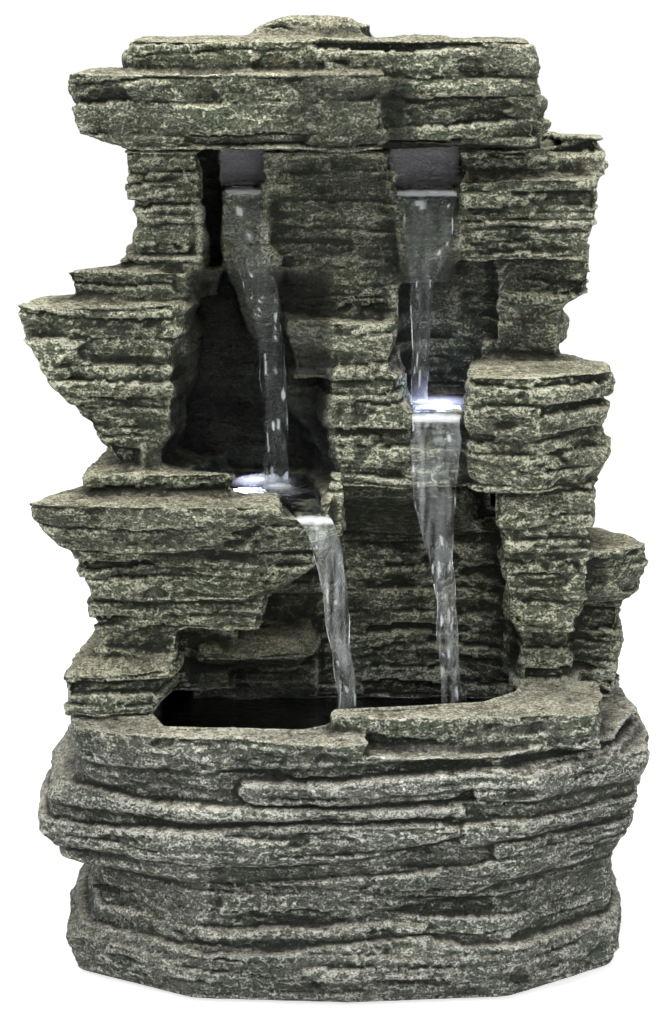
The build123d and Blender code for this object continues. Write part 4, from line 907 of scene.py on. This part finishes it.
def fall(name, course, seed, milk):
    """A closed sheet of running water along (left, right, y, z, thickness) rows, its threads
    milky with air by the share milk."""
    course = np.array(course, np.float32)
    hops = np.linalg.norm(np.diff(course[:, 2:4], axis=0), axis=1)
    along = np.concatenate([[0], np.cumsum(hops)])
    steps = np.arange(0, along[-1], FALL_STEP)
    window = np.hanning(EVENED_ROWS)
    kernel = window[1:-1] / window.sum()
    left, right, y, z, thick = (
        np.convolve(np.pad(np.interp(steps, along, column), len(kernel) // 2, mode="edge"),
                    kernel, "valid") for column in course.T)
    run_y, run_z = np.gradient(y), np.gradient(z)
    long = np.hypot(run_y, run_z)
    out_y, out_z = run_z / long, -run_y / long
    falling = eased(-run_z / long, 0.3, 0.9)

    # A flattened tube that wavers and pulls into threads as it falls.
    turn = np.linspace(0, 2 * np.pi, AROUND, endpoint=False)
    middle, half = (left + right) / 2, (right - left) / 2
    spot = np.zeros((len(steps), 3), np.float32)
    spot[:, 2] = steps
    middle = middle + 0.9 * falling * ripple(spot, (1, 1, 26), seed)
    half = half * (1 + 0.16 * falling * ripple(spot, (1, 1, 13), seed + 1))
    corners = np.empty((len(steps), AROUND, 3), np.float32)
    across = np.sign(np.cos(turn)) * np.abs(np.cos(turn)) ** 0.8
    corners[:, :, 0] = middle[:, None] + half[:, None] * across[None, :]
    ropes = np.stack(np.broadcast_arrays(corners[:, :, 0], turn[None, :] // np.pi * 50,
                                         steps[:, None]), axis=-1).reshape(-1, 3)
    loose = 0.35 + 0.65 * np.repeat(falling, AROUND)
    swell = 1 + 0.9 * ripple(ropes, (3.2, 1, 24), seed + 2) * loose
    swell += 0.35 * ripple(ropes, (1.7, 1, 9), seed + 3)
    swell = np.clip(swell, 0.25, 2.2).reshape(-1, AROUND)
    lift = np.sin(turn)[None, :] * thick[:, None] / 2 * swell
    corners[:, :, 1] = y[:, None] + out_y[:, None] * lift
    corners[:, :, 2] = z[:, None] + out_z[:, None] * lift
    places = corners.reshape(-1, 3)
    ends = [corners[0].mean(axis=0), corners[-1].mean(axis=0)]
    places = np.vstack([places, ends])
    first, last = len(places) - 2, len(places) - 1
    top = (len(steps) - 1) * AROUND
    pairs = [(a, (a + 1) % AROUND) for a in range(AROUND)]
    faces = [(row + a, row + b, row + AROUND + b, row + AROUND + a)
             for row in range(0, top, AROUND) for a, b in pairs]
    for a, b in pairs:
        faces += [(first, b, a), (last, top + a, top + b)]
    mesh = bpy.data.meshes.new(name)
    mesh.from_pydata([tuple(place) for place in (places * MM).tolist()], [], faces)

    # Milky in its threads, and white froth standing as a painted highlight where it turns over an
    # edge.
    streaks = milk * eased(ripple(ropes, (2.2, 1, 18), seed + 4), -0.3, 0.5)
    streaks += 0.6 * eased(ripple(ropes, (1.1, 1, 11), seed + 5), 0.50, 0.62)
    bend = np.abs(np.gradient(np.unwrap(np.arctan2(run_z, run_y))))
    froth_and_highlight = streaks * np.repeat(falling, AROUND) + 0.8 * np.repeat(eased(bend, 0.07, 0.16), AROUND)
    piece = wet_piece(name, mesh, np.append(np.clip(froth_and_highlight, 0, 1), (0, 0)).astype(np.float32))
    select_only(piece)
    bpy.ops.object.mode_set(mode="EDIT")
    bpy.ops.mesh.select_all(action="SELECT")
    bpy.ops.mesh.normals_make_consistent(inside=False)
    bpy.ops.object.mode_set(mode="OBJECT")
    return piece


fall("left_notch_fall", (
    (-48.6, -32.4, 14.6, 328.6, 1.4), (-48.6, -32.4, 5, 329.4, 1.8), (-48.6, -32.4, -4, 329.5, 1.6),
    (-48.2, -32.8, -10, 329.3, 1.4), (-47.8, -32.6, -14.4, 327.8, 1.4),
    (-47.4, -32.2, -17, 324, 1.5), (-46.3, -31.0, -19.6, 315, 1.6),
    (-43.6, -29.0, -22.2, 302, 1.8), (-40.4, -26.6, -22.6, 290, 2.0),
    (-37.2, -24.6, -22.2, 277, 2.2), (-34.6, -23.4, -22.0, 264, 2.6),
    (-32.6, -22.4, -22.6, 245, 3.0), (-31.6, -21.8, -23.4, 225, 3.2),
    (-31.2, -21.4, -24.0, 203, 3.4)), 101, 0.02)
fall("right_notch_fall", (
    (23.4, 48.6, 14.6, 328.6, 1.4), (23.4, 48.6, 5, 329.4, 1.8), (23.4, 48.6, -4, 329.5, 1.6),
    (23.8, 48.2, -11, 329.2, 1.4), (24.2, 48.0, -17.4, 327.6, 1.4),
    (24.8, 47.6, -20.4, 323, 1.5), (26.0, 47.0, -24.2, 314, 1.6),
    (27.4, 46.0, -26.8, 304.5, 1.8), (28.4, 42.6, -27.0, 298, 2.0),
    (29.2, 39.0, -26.6, 290, 2.4), (30.0, 37.6, -26.2, 272, 2.6),
    (30.4, 37.2, -26.2, 252, 2.8), (30.6, 37.4, -26.2, 239, 3.0)), 211, 0.04)
fall("left_overflow", (
    (-33, -10.5, -32, 203.4, 1.2), (-28, -9.4, -42, 203.2, 1.6), (-24.5, -8.9, -52, 202.8, 2.0),
    (-22.5, -7.8, -60, 202.4, 2.2), (-20.5, -6.0, -67, 201.8, 2.2),
    (-17.5, -3.0, -72.5, 199.4, 2.2),
    (-13.5, -0.5, -74.6, 194, 2.4), (-10.5, 1.0, -74.2, 186, 2.8), (-8.0, 2.4, -72.6, 174, 3.2),
    (-5.6, 3.8, -70.6, 158, 3.6), (-3.4, 5.2, -68, 143, 3.8), (-1.6, 6.2, -64.6, 126, 4.0),
    (-0.6, 6.8, -61, 110, 4.0), (-0.4, 7.0, -59.6, 102, 4.0)), 307, 0.20)
fall("right_overflow", (
    (31.5, 50.5, -30, 239.6, 1.0), (30.8, 50.6, -38, 239.8, 1.6), (30.0, 50.6, -44, 239.6, 1.8),
    (29.4, 50.4, -48.4, 237.6, 1.8), (29.0, 50.0, -50, 233, 1.8), (29.2, 49.4, -50.4, 224, 1.8),
    (29.8, 48.6, -50.6, 212, 2.0), (30.6, 48.0, -50.8, 204, 2.2), (32.5, 47.0, -51, 194, 2.6),
    (36.5, 46.5, -51, 182, 3.0), (39.0, 47.8, -50.8, 168, 3.2), (40.5, 49.0, -50.4, 154, 3.4),
    (41.5, 50.0, -50, 138, 3.4), (42.8, 50.8, -49.4, 122, 3.4), (43.2, 51.0, -49, 102, 3.4)),
    401, 0.14)


def still_water(name, outline, bottom, surface, cell, splashes, seed):
    """A body of water inside an outline, its surface rippled and frothy round each splash."""
    # A grid cut to the outline and pulled down to the floor.
    outline = np.array(outline, np.float32)
    low, high = outline.min(axis=0) - 2, outline.max(axis=0) + 2
    middle, size = (low + high) / 2, high - low
    bpy.ops.object.select_all(action="DESELECT")
    bpy.ops.mesh.primitive_grid_add(x_subdivisions=round(size[0] / cell),
                                    y_subdivisions=round(size[1] / cell), size=1,
                                    location=(middle[0] * MM, middle[1] * MM, surface * MM))
    piece = bpy.context.object
    piece.scale = (size[0] * MM, size[1] * MM, 1)
    bpy.ops.object.transform_apply(location=True, rotation=True, scale=True)
    places = mesh_arrays(piece.data)[0]
    inside = np.zeros(len(places), bool)
    for (x0, y0), (x1, y1) in zip(outline, np.roll(outline, -1, axis=0)):
        if y0 == y1:
            continue
        crosses = (y0 > places[:, 1]) != (y1 > places[:, 1])
        inside ^= crosses & (places[:, 0] < x0 + (places[:, 1] - y0) / (y1 - y0) * (x1 - x0))
    bpy.ops.object.mode_set(mode="EDIT")
    bpy.ops.mesh.select_mode(type="VERT")
    bpy.ops.mesh.select_all(action="DESELECT")
    bpy.ops.object.mode_set(mode="OBJECT")
    piece.data.vertices.foreach_set("select", ~inside)
    bpy.ops.object.mode_set(mode="EDIT")
    bpy.ops.mesh.delete(type="VERT")
    bpy.ops.mesh.select_all(action="SELECT")
    bpy.ops.mesh.extrude_region_move(
        TRANSFORM_OT_translate={"value": (0, 0, (bottom - surface) * MM)})
    bpy.ops.mesh.select_all(action="SELECT")
    bpy.ops.mesh.normals_make_consistent(inside=False)
    bpy.ops.object.mode_set(mode="OBJECT")

    # Ripples all over, rings round each splash, and crinkled froth where it lands.
    places = mesh_arrays(piece.data)[0]
    top = places[:, 2] > surface - 0.5
    flat = places.copy()
    flat[:, 2] = seed
    rise = 0.22 * ripple(flat, (9, 9, 1), seed) + 0.10 * ripple(flat, (3.4, 3.4, 1), seed + 1)
    froth_and_highlight = np.zeros(len(places), np.float32)
    for splash_x, splash_y, reach, strength in splashes:
        far = np.hypot(places[:, 0] - splash_x, places[:, 1] - splash_y)
        rise += 0.30 * np.sin(far * 1.5) * np.exp(-far / reach)
        froth_and_highlight = np.maximum(froth_and_highlight, strength * eased(reach - far, 0, reach * 0.7))
    crinkle = 1 - 2.4 * np.abs(ripple(flat, (2.4, 2.4, 1), seed + 2))
    crinkle += 0.6 * (1 - 2.4 * np.abs(ripple(flat, (1.2, 1.2, 1), seed + 3)))
    rise += froth_and_highlight * (0.9 + 0.8 * crinkle)
    froth_and_highlight *= eased(crinkle, -0.9, 0.5)
    places[:, 2] += np.where(top, rise, 0)
    piece.data.vertices.foreach_set("co", (places * MM).ravel())
    mesh = piece.data
    bpy.data.objects.remove(piece)
    return wet_piece(name, mesh, np.where(top, froth_and_highlight, 0).astype(np.float32))


still_water("left_pool_water", ((-63, -35), (-46, -45), (-21, -44), (-8, -31), (-10, 6), (-57, 8)),
            194.6, 203.4, 0.6, ((-33, -8, 17, 1.0), (-26, -24, 9, 0.9)), 503)
still_water("right_pool_water", ((30.4, -42), (54, -43), (55.6, 3), (30.4, 3)),
            233.7, 239.5, 0.6, ((34, -26, 8, 0.8), (44, -24, 9, 0.35)), 509)
still_water("basin_water", ((-81, -54), (-75, -75), (-16, -80), (-4, -71), (3, -64), (59, -59),
                            (77, -40), (83, -13), (83, 73), (-81, 73)),
            99.5, 102, 1.4, ((3, -60, 8, 0.5), (47, -49, 8, 0.6)), 521)


# ------------ pool lights
# A white diode under a clear domed lens in the floor of each middle pool, in a black cup, with
# its lead passing back through a rubber grommet.
LENS_GLOW = 6.0
LAMP_SIZE = 0.006
# Name, place in millimetres, power in watts
POOL_LAMPS = (("left_pool_lamp", (-38, -14, 211), 0.004),
              ("right_pool_lamp", (42, -18, 247), 0.009))


def repaint(paint, *solids):
    """Give the CAD's own solids their material."""
    for solid in solids:
        for place in nodes[solid].material_slots:
            place.link = "OBJECT"
            place.material = paint.material


def moulded(name, low, high, roughness, dimple=0.00008, scale=600, metallic=0.0):
    """A moulded or turned finish: cloudy between two colours, with a fine even grain."""
    paint = Paint(name)
    cloud = paint.ramp(paint.noise(paint.stretched(), 90, 4), 0.3, 0.7)
    paint.give("Base Color", paint.blend(cloud, rgb(*low), rgb(*high)))
    worn = paint.noise(paint.stretched(), 240, 3)
    paint.give("Roughness", paint.math("ADD", paint.times(worn, 0.16), roughness - 0.08))
    paint.give("Metallic", metallic)
    grain = paint.noise(paint.stretched(), scale * 4, 3, 0.6)
    paint.give("Normal", paint.bump(grain, dimple))
    return paint


lens_clear = moulded("light_lens", (0.86, 0.90, 1.0), (0.93, 0.95, 1.0), 0.12, 0.00003)
lens_clear.give("Transmission Weight", 0.6)
lens_clear.give("Emission Color", rgb(*POOL_GLOW))
lens_clear.give("Emission Strength", LENS_GLOW)
light_cup = moulded("light_housing", (0.012, 0.012, 0.014), (0.022, 0.022, 0.025), 0.42)
board_green = moulded("circuit_board", (0.015, 0.065, 0.032), (0.022, 0.085, 0.045), 0.38)
rubber = moulded("black_rubber", (0.014, 0.014, 0.015), (0.026, 0.026, 0.027), 0.78, 0.00015)
lead_black = moulded("lead_sheath", (0.016, 0.016, 0.018), (0.028, 0.028, 0.030), 0.5)
for side in ("left", "right"):
    for part, paint in (("lens", lens_clear), ("housing", light_cup), ("board", board_green),
                        ("grommet", rubber), ("lead", lead_black)):
        repaint(paint, f"led_{side}_{part}")

for name, place, power in POOL_LAMPS:
    bpy.ops.object.light_add(type="POINT", location=[side * MM for side in place])
    lamp = bpy.context.object
    lamp.name = name
    lamp.data.energy = power
    lamp.data.color = POOL_GLOW
    lamp.data.shadow_soft_size = LAMP_SIZE


# ------------ feet
# Four round rubber pads, pushed into pockets moulded under the plinth, which hold the casting
# a millimetre off the table so that it doesn't slip or scratch.
repaint(rubber, "base_feet")


# ------------ pump
# A submersible pump lying on suction cups in the basin: a potted body with its coil and core,
# a magnet rotor and impeller on a ceramic shaft, and a ribbed intake cover that pulls off.
pump_black = moulded("pump_plastic", (0.016, 0.017, 0.019), (0.030, 0.031, 0.034), 0.48, 0.00012)
white_plastic = moulded("white_plastic", (0.62, 0.62, 0.60), (0.72, 0.72, 0.70), 0.38)
ferrite = moulded("ferrite", (0.045, 0.043, 0.042), (0.075, 0.072, 0.070), 0.55)
ceramic = moulded("ceramic", (0.72, 0.71, 0.68), (0.80, 0.79, 0.77), 0.22, 0.00002)


def layered(name, low, high, axis, pitch, roughness, metallic):
    """Fine even layers stacked along one axis: wound wire, or stamped sheets."""
    paint = Paint(name)
    stacked = paint.along(paint.stretched(), axis)
    turns = paint.times(stacked, 2 * np.pi / (pitch * MM))
    crown = paint.math("ADD", paint.times(paint.math("SINE", turns), 0.5), 0.5)
    mottle = paint.noise(paint.stretched(), 300, 3)
    share = paint.math("MULTIPLY", crown, paint.math("ADD", mottle, 0.4), clamp=True)
    paint.give("Base Color", paint.blend(share, rgb(*low), rgb(*high)))
    paint.give("Metallic", metallic)
    paint.give("Roughness", roughness)
    paint.give("Normal", paint.bump(crown, 0.0002, 0.8))
    return paint


winding = layered("copper_winding", (0.20, 0.05, 0.02), (0.62, 0.24, 0.10), "Y", 0.6, 0.3, 0.8)
sheets = layered("laminated_steel", (0.14, 0.13, 0.13), (0.36, 0.35, 0.34), "X", 0.5, 0.42, 0.9)
repaint(pump_black, "pump_body", "pump_end_plate", "pump_volute_cover", "pump_intake_cover",
        "pump_cable_gland")
repaint(white_plastic, "pump_impeller", "pump_flow_dial", "lead_clip")
repaint(ferrite, "pump_magnet")
repaint(ceramic, "pump_impeller_shaft")
repaint(winding, "pump_coil")
repaint(sheets, "pump_stator_core")
repaint(rubber, "pump_shaft_bushes", "pump_suction_cups")
repaint(lead_black, "pump_lead")


# ------------ hoses and fittings
# Clear vinyl hose from the pump's nozzle to a splitter and up to an elbow behind each notch,
# pushed over grey moulded spigots.
hose_clear = moulded("clear_hose", (0.78, 0.83, 0.80), (0.88, 0.92, 0.90), 0.16, 0.00003)
hose_clear.give("Transmission Weight", 0.85)
hose_clear.give("IOR", 1.45)
fitting_grey = moulded("grey_fitting", (0.115, 0.120, 0.125), (0.150, 0.155, 0.160), 0.45)
repaint(hose_clear, "riser_hose", "branch_hose_left", "branch_hose_right")
repaint(fitting_grey, "pump_outlet_nozzle", "hose_splitter", "spigot_left", "spigot_right")


# ------------ wiring
# A small junction box screwed to the shaft's wall, and the low-voltage inlet in the rear
# casting, held by a plated nut.
box_black = moulded("box_plastic", (0.018, 0.018, 0.020), (0.030, 0.030, 0.033), 0.55, 0.00014)
plated = moulded("plated_steel", (0.52, 0.52, 0.50), (0.66, 0.66, 0.64), 0.30, 0.00003,
                 metallic=1.0)
repaint(box_black, "junction_box", "junction_box_lid", "inlet_socket")
repaint(lead_black, "inlet_lead")
repaint(plated, "box_screws", "inlet_nut")
